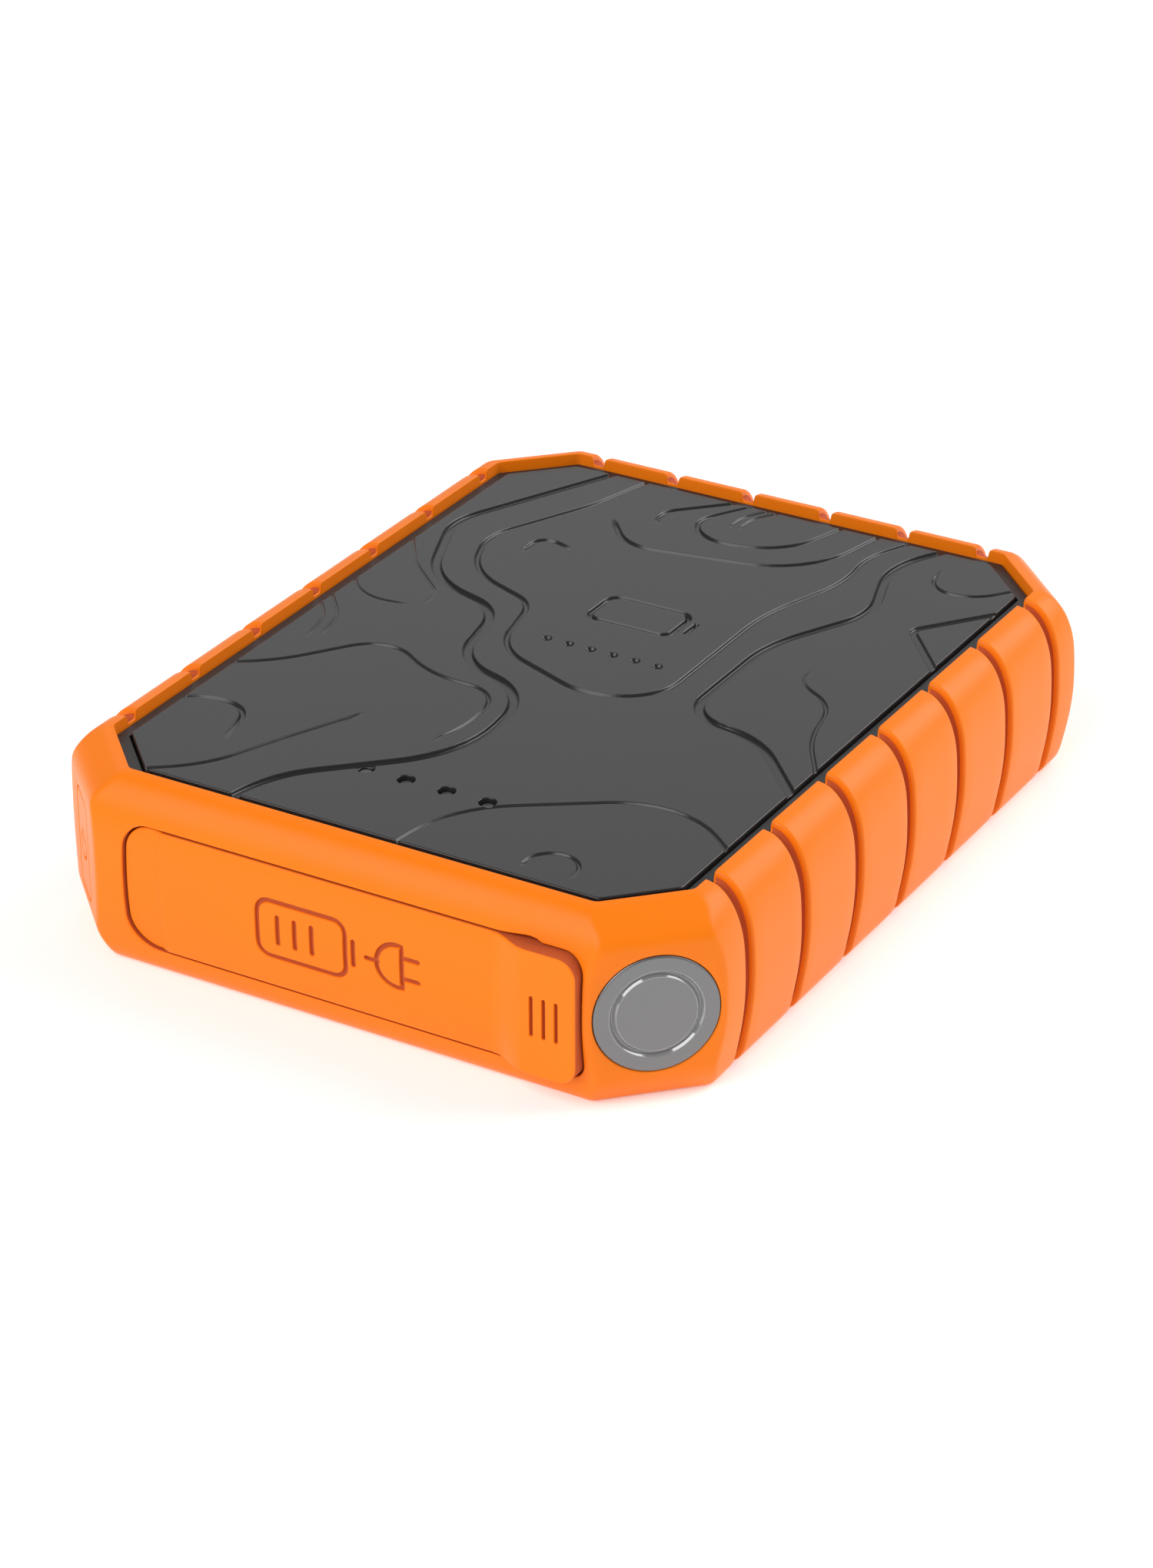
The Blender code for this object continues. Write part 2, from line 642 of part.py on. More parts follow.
def make_usb_c():
    width, height, depth = USB_C_SIZE
    frame = FRONT @ Matrix.Translation((USB_C_X, PORT_FOOT + height / 2, 0))
    front = -PORT_FACE
    outer = rounded(width, height, height / 2 - 0.01, 6)
    shell = prism("usb_c_shell", frame, outer, front - depth, front, smooth=40)
    inner_height = height - 2 * USB_C_WALL
    hollow = rounded(width - 2 * USB_C_WALL, inner_height, inner_height / 2 - 0.01, 6)
    inside = front - depth + USB_C_WALL
    cut(shell, prism("usb_c_hollow", frame, hollow, inside, front + 1))
    paint(shell, STEEL, 0.25, 1.0)
    back = inside + GAP
    block = prism("usb_c_tongue", frame, rounded(7.4, 1.9, 0.8, 3), back, back + 1.8)
    join(block, prism("usb_c_blade", frame, rounded(6.7, 0.7, 0.2, 2), back + 1.4, front - 0.7))
    paint(block, (0.05, 0.05, 0.05), 0.45)


def make_main_board():
    board = box("main_board", BOARD_LOW, BOARD_HIGH)
    for i, (x, y) in enumerate(BOARD_SCREWS):
        hole = [(1.2, BOARD_LOW[2] - 1), (1.2, BOARD_HIGH[2] + 1)]
        cut(board, turned(f"board_hole_{i}", Matrix.Translation((x, y, 0)), hole, 12))
    paint(board, GREEN, 0.4)


def make_components():
    """The larger parts on the board: coil and capacitors above, controller below."""
    top = PORT_FOOT
    low, high, height = COIL
    coil = box("power_inductor", (*low, top), (*high, top + height))
    bevel(coil, 0.6)
    paint(coil, (0.1, 0.1, 0.11), 0.6)
    for number, x in enumerate(CAPACITORS, 1):
        can = [(2.0, top), (2.0, top + 4.6), (1.7, top + 5.0)]
        can = turned(f"capacitor_{number}", Matrix.Translation((x, CAPACITOR_Y, 0)), can, 20)
        paint(can, (0.7, 0.7, 0.72), 0.3, 0.9)
    under = BOARD_LOW[2] - GAP
    low, high, height = CONTROLLER
    chip = box("charge_controller", (*low, under - height), (*high, under))
    paint(chip, BLACK, 0.5)


def bevel(obj, width, segments=1):
    modifier = obj.modifiers.new("bevel", "BEVEL")
    modifier.width = width * MM
    modifier.segments = segments


# --------------------------------------------------------------- charge lights

def light_places():
    return [LIGHT_X + LIGHT_PITCH * i for i in range(LIGHT_COUNT)]


def make_charge_lights():
    """A light guide with a prong for each hole, above its own small light."""
    places = light_places()
    bar_low = (places[0] - 1.8, LIGHT_Y - 1.5, GUIDE_BAR[0])
    bar_high = (places[-1] + 1.8, LIGHT_Y + 1.5, GUIDE_BAR[1])
    guide = box("light_guide", bar_low, bar_high)
    for i, x in enumerate(places, 1):
        frame = Matrix.Translation((x, LIGHT_Y, 0))
        prong = [(GUIDE_RADIUS, GUIDE_FOOT), (GUIDE_RADIUS, GUIDE_TOP - 0.1),
                 (GUIDE_RADIUS - 0.1, GUIDE_TOP)]
        join(guide, turned(f"guide_prong_{i}", frame, prong, 16))
        low = (x - 0.8, LIGHT_Y - 0.5, PORT_FOOT)
        light = box(f"charge_led_{i}", low, (x + 0.8, LIGHT_Y + 0.5, PORT_FOOT + 0.8))
        paint(light, (0.9, 0.9, 0.85), 0.3)
    paint(guide, (0.12, 0.12, 0.13), 0.2)


# ------------------------------------------------------------------------ cells

def make_cells():
    """From the floor up: foam, lower cell, tape, upper cell, foam."""
    z = FLOOR[1] + GAP
    layers = [("lower_foam_pad", PAD_THICK, 4.0), ("lower_cell", CELL_THICK, 0.0),
              ("cell_tape", TAPE_THICK, 6.0), ("upper_cell", CELL_THICK, 0.0),
              ("upper_foam_pad", PAD_THICK, 4.0)]
    for name, thickness, inset in layers:
        low = (-CELL_X + inset, CELL_Y[0] + inset, z)
        high = (CELL_X - inset, CELL_Y[1] - inset, z + thickness)
        piece = box(name, low, high)
        if name.endswith("cell"):
            bevel(piece, 1.6, 2)
            paint(piece, (0.55, 0.56, 0.58), 0.35, 0.8)
            make_tabs(name, z + thickness / 2)
        else:
            paint(piece, (0.1, 0.1, 0.1), 0.9)
        z += thickness + GAP


def make_tabs(cell, z):
    """The two flat metal tabs at the front of a cell."""
    half, length, thickness = CELL_TAB
    for name, x in (("positive", CELL_TAB_X), ("negative", -CELL_TAB_X)):
        front = CELL_Y[0] - GAP
        low = (x - half, front - length, z - thickness / 2)
        tab = box(f"{cell}_{name}_tab", low, (x + half, front, z + thickness / 2))
        paint(tab, (0.7, 0.68, 0.62), 0.3, 1.0)


def make_protection_board():
    """The cells' safety board, upright in front of their tabs, and its two leads."""
    back = CELL_Y[0] - 2 * GAP - CELL_TAB[1]
    front = back - SAFETY_THICK
    half, low, high = SAFETY_BOARD
    board = box("protection_board", (-half, front, low), (half, back, high))
    paint(board, (0.02, 0.12, 0.2), 0.4)
    bend = BOARD_HIGH[1]
    for name, x, colour in (("positive_lead", LEAD_X[0], (0.6, 0.02, 0.02)),
                            ("negative_lead", LEAD_X[1], BLACK)):
        path = [(x, front - GAP, LEAD_TOP), (x, bend + 1.0, LEAD_TOP),
                (x, bend + 0.1, LEAD_TOP - 0.2), (x, bend - 0.6, LEAD_TOP - 0.8),
                (x, bend - 1.0, LEAD_TOP - 1.7), (x, bend - 1.1, PORT_FOOT)]
        paint(lead(name, path, LEAD_RADIUS), colour, 0.5)


def lead(name, path, radius):
    """An insulated wire along a path."""
    curve = bpy.data.curves.new(name, "CURVE")
    curve.dimensions = "3D"
    curve.bevel_depth = radius * MM
    curve.bevel_resolution = 2
    curve.use_fill_caps = True
    spline = curve.splines.new("POLY")
    spline.points.add(len(path) - 1)
    for point, place in zip(spline.points, path):
        point.co = (*(Vector(place) * MM), 1.0)
    obj = bpy.data.objects.new(name, curve)
    bpy.context.scene.collection.objects.link(obj)
    return obj


# ----------------------------------------------------------------------- screws

def make_screws():
    for number, (x, y) in enumerate(CASE_SCREWS, 1):
        head = HEAD_SEAT - 0.3
        shape = [(2.1, head - 1.9), (2.1, head - 0.4), (1.2, head),
                 (1.2, CASE_SCREW_TIP - 0.6), (0.6, CASE_SCREW_TIP)]
        screw = turned(f"case_screw_{number}", Matrix.Translation((x, y, 0)), shape, 16)
        paint(screw, SCREW, 0.3, 1.0)
    for number, (x, y) in enumerate(BOARD_SCREWS, 1):
        head = PORT_FOOT
        foot = BOARD_SCREW_FOOT
        shape = [(0.4, foot), (0.8, foot + 0.5), (0.8, head), (1.9, head), (1.9, head + 1.2)]
        screw = turned(f"board_screw_{number}", Matrix.Translation((x, y, 0)), shape, 16)
        paint(screw, SCREW, 0.3, 1.0)


def build():
    clear_scene()
    make_sleeve()
    make_lower_housing()
    make_upper_housing()
    make_housing_seal()
    make_panels()
    make_port_cover()
    make_hinge_strip()
    make_torch()
    make_power_key()
    for number, x in enumerate(USB_A_X, 1):
        make_usb_a(number, x)
    make_usb_c()
    make_main_board()
    make_components()
    make_charge_lights()
    make_cells()
    make_protection_board()
    make_screws()


build()
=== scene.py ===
"""Looks of a rugged power bank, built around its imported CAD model.

Lengths below are millimetres in the CAD's frame: +X across the width, +Y to the back
(the ports face -Y), +Z up from the resting face. Points become metres as a mesh is made.
"""
import math

import bmesh
import bpy
import numpy as np
from mathutils import Matrix, Vector
from mathutils.geometry import delaunay_2d_cdt


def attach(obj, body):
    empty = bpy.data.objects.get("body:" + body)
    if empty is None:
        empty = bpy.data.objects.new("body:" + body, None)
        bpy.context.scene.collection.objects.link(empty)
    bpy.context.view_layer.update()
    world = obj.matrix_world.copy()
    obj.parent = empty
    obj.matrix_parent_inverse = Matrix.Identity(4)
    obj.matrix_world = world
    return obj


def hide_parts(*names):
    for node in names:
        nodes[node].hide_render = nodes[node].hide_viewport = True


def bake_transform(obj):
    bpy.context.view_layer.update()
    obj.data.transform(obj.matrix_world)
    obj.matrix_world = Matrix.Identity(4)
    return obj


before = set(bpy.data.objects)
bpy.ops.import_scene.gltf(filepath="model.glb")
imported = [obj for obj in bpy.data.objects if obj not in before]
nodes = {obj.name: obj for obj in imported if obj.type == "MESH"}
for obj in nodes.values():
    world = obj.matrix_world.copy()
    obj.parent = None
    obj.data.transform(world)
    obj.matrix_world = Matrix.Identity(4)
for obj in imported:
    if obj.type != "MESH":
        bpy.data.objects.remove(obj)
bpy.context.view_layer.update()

MM = 0.001
GAP = 0.3

# -------------------- sizes shared with the CAD

RIM_X = 44.0
RIM_Y = 58.0
RIM_CHAMFER = 8.9
HEIGHT = 27.0
MIDDLE = 13.1
LIP = 3.0
SLEEVE_INSIDE = 2.0
PANEL_EDGE = -2.2
PANEL_CORNER = 1.2
PLATE_EDGE = 0.22                # radius of the rounded edge of the panels and the cover
TOP_PANEL = (23.8, 26.0)
BOTTOM_PANEL = (1.7, 3.2)

# Outer face of the sleeve: its swell, how square its shoulder is, and its foot.
SWELL = 6.0                    # widest offset
SWELL_HEIGHT = 13.6
SHOULDER_POWER = 2.7
SHOULDER_STEPS = 5
BELLY_RADIUS = 45.0
BELLY_LEVELS = (9.0, 4.5, 1.6)
FOOT_OFFSET = 3.3


def sleeve_face():
    """Outer face from the rim down: a superellipse shoulder, a shallow belly, the foot: (offset, z)."""
    face = []
    for step in range(SHOULDER_STEPS + 1):
        turn = math.radians(90 * step / SHOULDER_STEPS)
        rise = max(0.0, math.cos(turn)) ** (2 / SHOULDER_POWER)
        face.append((SWELL * math.sin(turn), SWELL_HEIGHT + (HEIGHT - SWELL_HEIGHT) * rise))
    for z in BELLY_LEVELS:
        face.append((SWELL - (SWELL_HEIGHT - z) ** 2 / (2 * BELLY_RADIUS), z))
    return face + [(FOOT_OFFSET, 0.0)]


SLEEVE_FACE = sleeve_face()
GROOVE_DEPTH = 1.4
SIDE_GROOVES, SIDE_PITCH = 7, 15.0
BACK_GROOVES, BACK_PITCH = 6, 12.7

COVER_LEFT, COVER_RIGHT = -32.5, 36.2
COVER_LOW, COVER_HIGH = 4.0, 21.8
TAB_CORNER, TOP_CORNER, LOW_CORNER = 2.6, 3.4, 4.6    # the cover's corner radii
NOTCH_ENDS = (30.3, 23.4)        # the finger notch over the cover's pull tab, steep end first
NOTCH_LIFT = 0.42
COVER_BACK = -61.6
STRAP_SINK = 0.5
STRAP_FOLD = (-27.5, -26.8)      # where the sunken strap rises to the flush part
TAB_FACE = 7.2
TAB_RAMP = (23.2, 28.8)          # where the flush part rises to the pull tab
GRIP_LINES = (29.9, 31.7, 33.5)
BAY = (-26.0, 32.5, 7.4, 19.6)   # left, right, low, high of the port bay's mouth
BAY_CORNER = 2.0

CORNER_FACE = 5.7                # offset of the flat front corner faces
CORNER_RISE, CORNER_FALL = (1.0, 5.0), (26.2, 22.0)   # heights where they blend in and out
TORCH_RING = 8.25
TORCH_BORE, TORCH_SEAT = 6.55, 4.6
TORCH_FRONT = 5.8
KEY_WIDTH, KEY_HEIGHT, KEY_CORNER = 7.3, 14.5, 1.4
LIGHT_PLACES = [(-9.3 + 6.2 * i, -41.3) for i in range(4)]
LIGHT_HOLE = 1.2

BOARD_TOP = 10.6
USB_A_PLACES, USB_C_PLACE = (-15.5, 3.0), 19.5


# -------------------- mesh helpers

def make(name, verts, faces, smooth=30.0):
    """A linked object from points in mm; edges over the angle are sharp."""
    mesh = bpy.data.meshes.new(name)
    mesh.from_pydata([tuple(c * MM for c in v) for v in verts], [], faces)
    shape = bmesh.new()
    shape.from_mesh(mesh)
    bmesh.ops.remove_doubles(shape, verts=shape.verts, dist=1e-7)
    bmesh.ops.recalc_face_normals(shape, faces=shape.faces)
    if shape.calc_volume(signed=True) < 0:
        bmesh.ops.reverse_faces(shape, faces=shape.faces)
    shape.to_mesh(mesh)
    shape.free()
    obj = bpy.data.objects.new(name, mesh)
    bpy.context.scene.collection.objects.link(obj)
    soften(obj, smooth)
    return obj


def soften(obj, angle):
    obj.data.shade_smooth()
    obj.data.set_sharp_from_angle(angle=math.radians(angle))


def skin(name, rows, around=False, along=False, smooth=30.0):
    """Faces between equal rows of points; around closes each row, along the last to first."""
    count = len(rows[0])
    verts = [p for row in rows for p in row]
    faces = []
    for r in range(len(rows) if along else len(rows) - 1):
        here, after = r * count, (r + 1) % len(rows) * count
        for i in range(count if around else count - 1):
            j = (i + 1) % count
            faces.append((here + i, here + j, after + j, after + i))
    if around and not along:
        faces.append(tuple(range(count - 1, -1, -1)))
        last = (len(rows) - 1) * count
        faces.append(tuple(range(last, last + count)))
    return make(name, verts, faces, smooth)


def apply_modifiers(obj):
    depsgraph = bpy.context.evaluated_depsgraph_get()
    mesh = bpy.data.meshes.new_from_object(obj.evaluated_get(depsgraph))
    obj.modifiers.clear()
    obj.data = mesh


def boolean(obj, other, operation="DIFFERENCE"):
    modifier = obj.modifiers.new("cut", "BOOLEAN")
    modifier.operation = operation
    modifier.solver = "EXACT"
    modifier.object = other
    apply_modifiers(obj)
    bpy.data.objects.remove(other, do_unlink=True)


def bevel(obj, width, segments=2, angle=35.0):
    modifier = obj.modifiers.new("bevel", "BEVEL")
    modifier.width = width * MM
    modifier.segments = segments
    modifier.limit_method = "ANGLE"
    modifier.angle_limit = math.radians(angle)
    soften(obj, angle)


def smoothstep(t):
    t = np.clip(t, 0.0, 1.0)
    return t * t * (3 - 2 * t)


def blend(value, start, end):
    """0 up to the start, 1 from the end on, smooth between."""
    return smoothstep((value - start) / (end - start))


def spline(points, step, closed=False):
    """A smooth line through the points, sampled about every step."""
    pts = [Vector(p) for p in points]
    count = len(pts)
    out = []
    for i in range(count if closed else count - 1):
        if closed:
            p0, p1, p2, p3 = (pts[(i + k) % count] for k in (-1, 0, 1, 2))
        else:
            p1, p2 = pts[i], pts[i + 1]
            p0 = pts[i - 1] if i else p1 * 2 - p2
            p3 = pts[i + 2] if i + 2 < count else p2 * 2 - p1
        parts = max(2, round((p2 - p1).length / step))
        for k in range(parts):
            t = k / parts
            out.append(0.5 * (2 * p1 + (p2 - p0) * t + (2 * p0 - 5 * p1 + 4 * p2 - p3) * t * t
                              + (3 * p1 - p0 - 3 * p2 + p3) * t * t * t))
    if not closed:
        out.append(pts[-1])
    return np.array([tuple(p) for p in out])


def straight(points, step, closed=False):
    """The same points joined by straight lines, sampled about every step."""
    ends = list(points) + ([points[0]] if closed else [])
    out = []
    for a, b in zip(ends, ends[1:]):
        a, b = np.array(a, float), np.array(b, float)
        parts = max(1, round(float(np.linalg.norm(b - a)) / step))
        out += [a + (b - a) * k / parts for k in range(parts)]
    if not closed:
        out.append(np.array(ends[-1], float))
    return np.array(out)


def arc(centre, radius, start, end, steps):
    """Points from one angle to another, in degrees."""
    angles = np.radians(np.linspace(start, end, steps))
    return [(centre[0] + radius * math.cos(a), centre[1] + radius * math.sin(a)) for a in angles]


def rounded(width, height, radius, steps=8, centre=(0.0, 0.0)):
    """Outline of a rectangle with round corners, counter-clockwise."""
    points = []
    for quadrant in range(4):
        middle = math.radians(45 + 90 * quadrant)
        corner = (centre[0] + math.copysign(width / 2 - radius, math.cos(middle)),
                  centre[1] + math.copysign(height / 2 - radius, math.sin(middle)))
        points += arc(corner, radius, 90 * quadrant, 90 * (quadrant + 1), steps)
    return points


def circle(centre, radius, steps):
    return arc(centre, radius, 0, 360 - 360 / steps, steps)


def axes_at(origin, across, up, out):
    turn = Matrix((across, up, out)).transposed().to_4x4()
    return Matrix.Translation(Vector(origin)) @ turn


def corner_frame(side):
    """Frame on a front corner face: x across it, y up, z outwards, at the rim outline."""
    centre = (side * (RIM_X - RIM_CHAMFER / 2), -(RIM_Y - RIM_CHAMFER / 2), MIDDLE)
    half = math.sqrt(0.5)
    out = Vector((side * half, -half, 0))
    up = Vector((0, 0, 1))
    return axes_at(centre, up.cross(out), up, out)


def turned(name, place, profile, steps=96, closed=False, smooth=30.0):
    """A profile of (radius, distance) turned about a frame's z axis."""
    rows = []
    for radius, distance in profile:
        ring = circle((0, 0), max(radius, 0.0), steps)
        rows.append([tuple(place @ Vector((x, y, distance))) for x, y in ring])
    return skin(name, rows, around=True, along=closed, smooth=smooth)


# -------------------- carved plates

def distance_to(points, line, closed=False):
    """Distance from each point to a line, and how far along the line its foot is (0 to 1)."""
    ends = np.vstack([line, line[:1]]) if closed else line
    a, b = ends[:-1], ends[1:]
    run = b - a
    size = np.maximum((run ** 2).sum(1), 1e-12)
    before = np.concatenate([[0.0], np.cumsum(np.sqrt(size))])
    best = np.full(len(points), 1e9)
    place = np.zeros(len(points))
    for start in range(0, len(points), 4000):
        p = points[start:start + 4000, None, :]
        t = np.clip(((p - a) * run).sum(2) / size, 0, 1)
        gap = np.sqrt(((p - a - t[..., None] * run) ** 2).sum(2))
        k = gap.argmin(1)
        rows = np.arange(len(k))
        best[start:start + 4000] = gap[rows, k]
        place[start:start + 4000] = (before[k] + t[rows, k] * np.sqrt(size[k])) / before[-1]
    return best, place


def inside(points, outline):
    """True for each point inside a closed outline."""
    x, y = points[:, 0], points[:, 1]
    hit = np.zeros(len(points), bool)
    for (x0, y0), (x1, y1) in zip(outline, np.roll(outline, -1, axis=0)):
        crosses = (y0 > y) != (y1 > y)
        if y0 != y1:
            hit ^= crosses & (x < (x1 - x0) * (y - y0) / (y1 - y0) + x0)
    return hit


def beside(line, offset, closed=False):
    """The line moved sideways (to its left for a positive offset)."""
    if closed:
        along = np.roll(line, -1, axis=0) - np.roll(line, 1, axis=0)
    else:
        along = np.gradient(line, axis=0)
    along /= np.maximum(np.linalg.norm(along, axis=1, keepdims=True), 1e-9)
    return line + offset * np.stack([-along[:, 1], along[:, 0]], axis=1)


def capsule(line, away):
    """A closed outline at one distance round an open line."""
    points = []
    for side in (line, line[::-1]):
        points += list(beside(side, away))
        along = side[-1] - side[-2]
        out = math.degrees(math.atan2(along[1], along[0]))
        points += [np.array(p) for p in arc(side[-1], away, out + 90, out - 90, 9)[1:-1]]
    return np.array(points)


DEEP_AT = 0.14                 # faces carved deeper than this take the second material, which on rubber pieces is darker rubber that paints shade
EDGE_SHARES = (0.12, 0.3, 0.6, 1.0, 1.4)             # mesh lines over a rounded edge
WALL_SHARES = (-0.5, 0.0, 0.2, 0.4, 0.6, 0.8, 1.0)   # and down a carved wall


class Plate:
    """A plate drawn flat with carved lines, pockets and holes, then placed in space."""

    def __init__(self, outline, edge=0.2):
        self.outline = np.array(outline, float)
        self.edge = edge
        self.lines = [(self.outline, True)]
        for share in EDGE_SHARES:
            self.lines.append((beside(self.outline, edge * share, True), True))
        self.grid = []
        self.carved = []
        self.holes = []

    def channel(self, line, width, depth, closed=False, fade=(0.0, 0.0), wall=0.34):
        """A groove along a line; fade is the share of its length that dies away at each end."""
        line = np.array(line, float)
        half = width / 2
        wall = min(wall, half)
        for share in WALL_SHARES:
            away = half - wall * share
            if away < 0.02:
                self.lines.append((line, closed))
            elif closed:
                self.lines += [(beside(line, side * away, True), True) for side in (1, -1)]
            else:
                self.lines.append((capsule(line, away), True))
        self.carved.append(("channel", line, half, depth, closed, fade, wall))

    def pocket(self, outline, depth, wall=0.34):
        outline = np.array(outline, float)
        for share in (*WALL_SHARES, 1.3):
            self.lines.append((beside(outline, wall * share, True), True))
        self.carved.append(("pocket", outline, depth, wall))

    def hole(self, centre, radius, edge=0.15):
        for share in (0.0, *EDGE_SHARES[1:]):
            ring = np.array(circle(centre, radius + edge * share, 40))
            self.lines.append((ring, True))
        self.holes.append((np.array(centre), radius, edge))

    def fill(self, step_x, step_y):
        """Loose points inside the outline, for a plate that is placed on a curve."""
        low, high = self.outline.min(0), self.outline.max(0)
        xs = np.arange(low[0] + step_x, high[0], step_x)
        ys = np.arange(low[1] + step_y, high[1], step_y)
        points = np.array([(x, y) for y in ys for x in xs])
        self.grid = points[inside(points, self.outline)]

    def height(self, points):
        """Height of the carved face over its plain level."""
        out = np.zeros(len(points))
        for shape in self.carved:
            if shape[0] == "channel":
                _, line, half, depth, closed, fade, wall = shape
                gap, along = distance_to(points, line, closed)
                share = smoothstep((half - gap) / wall)
                if fade[0]:
                    share = share * smoothstep(along / fade[0])
                if fade[1]:
                    share = share * smoothstep((1 - along) / fade[1])
            else:
                _, outline, depth, wall = shape
                gap, _ = distance_to(points, outline, True)
                share = smoothstep(np.where(inside(points, outline), gap, 0.0) / wall)
            out = np.minimum(out, -depth * share)
        for centre, radius, edge in self.holes:
            gap = np.clip((np.linalg.norm(points - centre, axis=1) - radius) / edge, 0, 1)
            out -= edge * (1 - np.sqrt(1 - (1 - gap) ** 2))
        gap, _ = distance_to(points, self.outline, True)
        gap = np.clip(gap / self.edge, 0, 1)
        return out - self.edge * (1 - np.sqrt(1 - (1 - gap) ** 2))

    def build(self, name, place, back, smooth=35.0):
        """The solid plate: place(u, v, height) is its front, back(u, v) its back."""
        verts, edges = [], []
        for line, closed in self.lines:
            first = len(verts)
            verts += [tuple(p) for p in line]
            edges += [(first + i, first + i + 1) for i in range(len(line) - 1)]
            if closed:
                edges.append((first + len(line) - 1, first))
        verts += [tuple(p) for p in self.grid]
        flat = delaunay_2d_cdt([Vector(v) for v in verts], edges, [], 0, 1e-5)
        points = np.array([tuple(p) for p in flat[0]])
        faces = [tuple(f) for f in flat[2]]
        middles = np.array([points[list(f)].mean(0) for f in faces])
        keep = inside(middles, self.outline)
        for centre, radius, _ in self.holes:
            keep &= np.linalg.norm(middles - centre, axis=1) > radius
        heights = self.height(points)
        shape = bmesh.new()
        made = {}
        for face, wanted in zip(faces, keep):
            if not wanted:
                continue
            for i in face:
                if i not in made:
                    x, y, z = place(points[i][0], points[i][1], heights[i])
                    made[i] = shape.verts.new((x * MM, y * MM, z * MM))
            shape.faces.new([made[i] for i in face])
        flat_place = {vert: points[i] for i, vert in made.items()}
        rim = [e for e in shape.edges if e.is_boundary]
        grown = bmesh.ops.extrude_edge_only(shape, edges=rim)["geom"]
        fresh = {v for v in grown if isinstance(v, bmesh.types.BMVert)}
        for vert in fresh:
            old = next(e.other_vert(vert) for e in vert.link_edges
                       if e.other_vert(vert) in flat_place)
            x, y, z = back(*flat_place[old])
            vert.co = (x * MM, y * MM, z * MM)
        ends = [e for e in shape.edges if e.verts[0] in fresh and e.verts[1] in fresh]
        bmesh.ops.triangle_fill(shape, edges=ends, use_beauty=True)
        bmesh.ops.recalc_face_normals(shape, faces=shape.faces)
        low = dict(zip(made.values(), heights[list(made)]))
        # Carved faces and the plate's sides and back take the second material; on rubber pieces it
        # paints shade there.
        deep = [any(v in fresh for v in face.verts) or max(low[v] for v in face.verts) < -DEEP_AT
                for face in shape.faces]
        mesh = bpy.data.meshes.new(name)
        shape.to_mesh(mesh)
        shape.free()
        obj = bpy.data.objects.new(name, mesh)
        bpy.context.scene.collection.objects.link(obj)
        soften(obj, smooth)
        even = obj.modifiers.new("even_normals", "WEIGHTED_NORMAL")
        even.keep_sharp = True
        for face in obj.data.polygons:
            face.material_index = int(deep[face.index])
        return obj


# -------------------- materials

def set_inputs(node, **values):
    """Set a shader node's inputs by name, with _ for a space."""
    for socket, value in values.items():
        node.inputs[socket.replace("_", " ")].default_value = value


def material(name, colour, roughness=0.5, metallic=0.0, **extra):
    """A Principled material; extra sets any other of its sockets."""
    made = bpy.data.materials.new(name)
    made.use_nodes = True
    shader = made.node_tree.nodes["Principled BSDF"]
    set_inputs(shader, Base_Color=(*colour, 1.0), Roughness=roughness, Metallic=metallic, **extra)
    return made


def grain(made, scale, strength, depth=0.02, spread=0.06, shift=0.04, detail=4.0):
    """Fine grain: a bump, and small changes of roughness and colour, from object space."""
    tree = made.node_tree
    shader = tree.nodes["Principled BSDF"]
    place = tree.nodes.new("ShaderNodeTexCoord")
    noise = tree.nodes.new("ShaderNodeTexNoise")
    set_inputs(noise, Scale=scale, Detail=detail)
    tree.links.new(place.outputs["Object"], noise.inputs["Vector"])
    bump = tree.nodes.new("ShaderNodeBump")
    set_inputs(bump, Strength=strength, Distance=depth * MM)
    tree.links.new(noise.outputs["Fac"], bump.inputs["Height"])
    tree.links.new(bump.outputs["Normal"], shader.inputs["Normal"])
    broad = tree.nodes.new("ShaderNodeTexNoise")
    set_inputs(broad, Scale=scale / 40, Detail=2.0)
    tree.links.new(place.outputs["Object"], broad.inputs["Vector"])
    rough = tree.nodes.new("ShaderNodeMapRange")
    base = shader.inputs["Roughness"].default_value
    set_inputs(rough, To_Min=base - spread, To_Max=base + spread)
    tree.links.new(broad.outputs["Fac"], rough.inputs["Value"])
    tree.links.new(rough.outputs["Result"], shader.inputs["Roughness"])
    colour = tuple(shader.inputs["Base Color"].default_value)[:3]
    mix = tree.nodes.new("ShaderNodeMix")
    mix.data_type = "RGBA"
    set_inputs(mix, A=(*[c * (1 - shift) for c in colour], 1.0),
               B=(*[min(c * (1 + shift), 1.0) for c in colour], 1.0))
    tree.links.new(broad.outputs["Fac"], mix.inputs["Factor"])
    tree.links.new(mix.outputs["Result"], shader.inputs["Base Color"])
    return made


RUBBER = grain(material("orange_rubber", (0.9, 0.195, 0.003), 0.38, Specular_IOR_Level=0.2),
               2600, 0.12)
# A darker, rougher copy of the orange rubber: its darker colour is painted shade for grooves, seats,
# bores and carved marks.
SHADED_RUBBER = grain(material("orange_rubber_painted_shade", (0.55, 0.105, 0.03), 0.6,
                             Specular_IOR_Level=0.15), 2600, 0.12)
PANEL = grain(material("grey_panel", (0.0165, 0.0165, 0.017), 0.26), 2600, 0.06, spread=0.03)
HOUSING = grain(material("black_housing", (0.016, 0.016, 0.017), 0.45), 1800, 0.15)
SEAL = grain(material("seal_rubber", (0.03, 0.03, 0.032), 0.8), 1500, 0.2)
RING = grain(material("satin_ring", (0.2, 0.2, 0.204), 0.38, 0.9), 4000, 0.08)
CHROME = grain(material("chrome", (0.85, 0.86, 0.88), 0.1, 1.0), 900, 0.03, spread=0.03)
WINDOW = grain(material("window", (0.145, 0.145, 0.148), 0.4, Coat_Weight=1.0, Coat_Roughness=0.04),
               1400, 0.03, spread=0.03, shift=0.02)
RIM = grain(material("window_rim", (0.2, 0.2, 0.204), 0.1, IOR=1.8, Specular_IOR_Level=1.0),
            1400, 0.02, spread=0.02, shift=0.02)
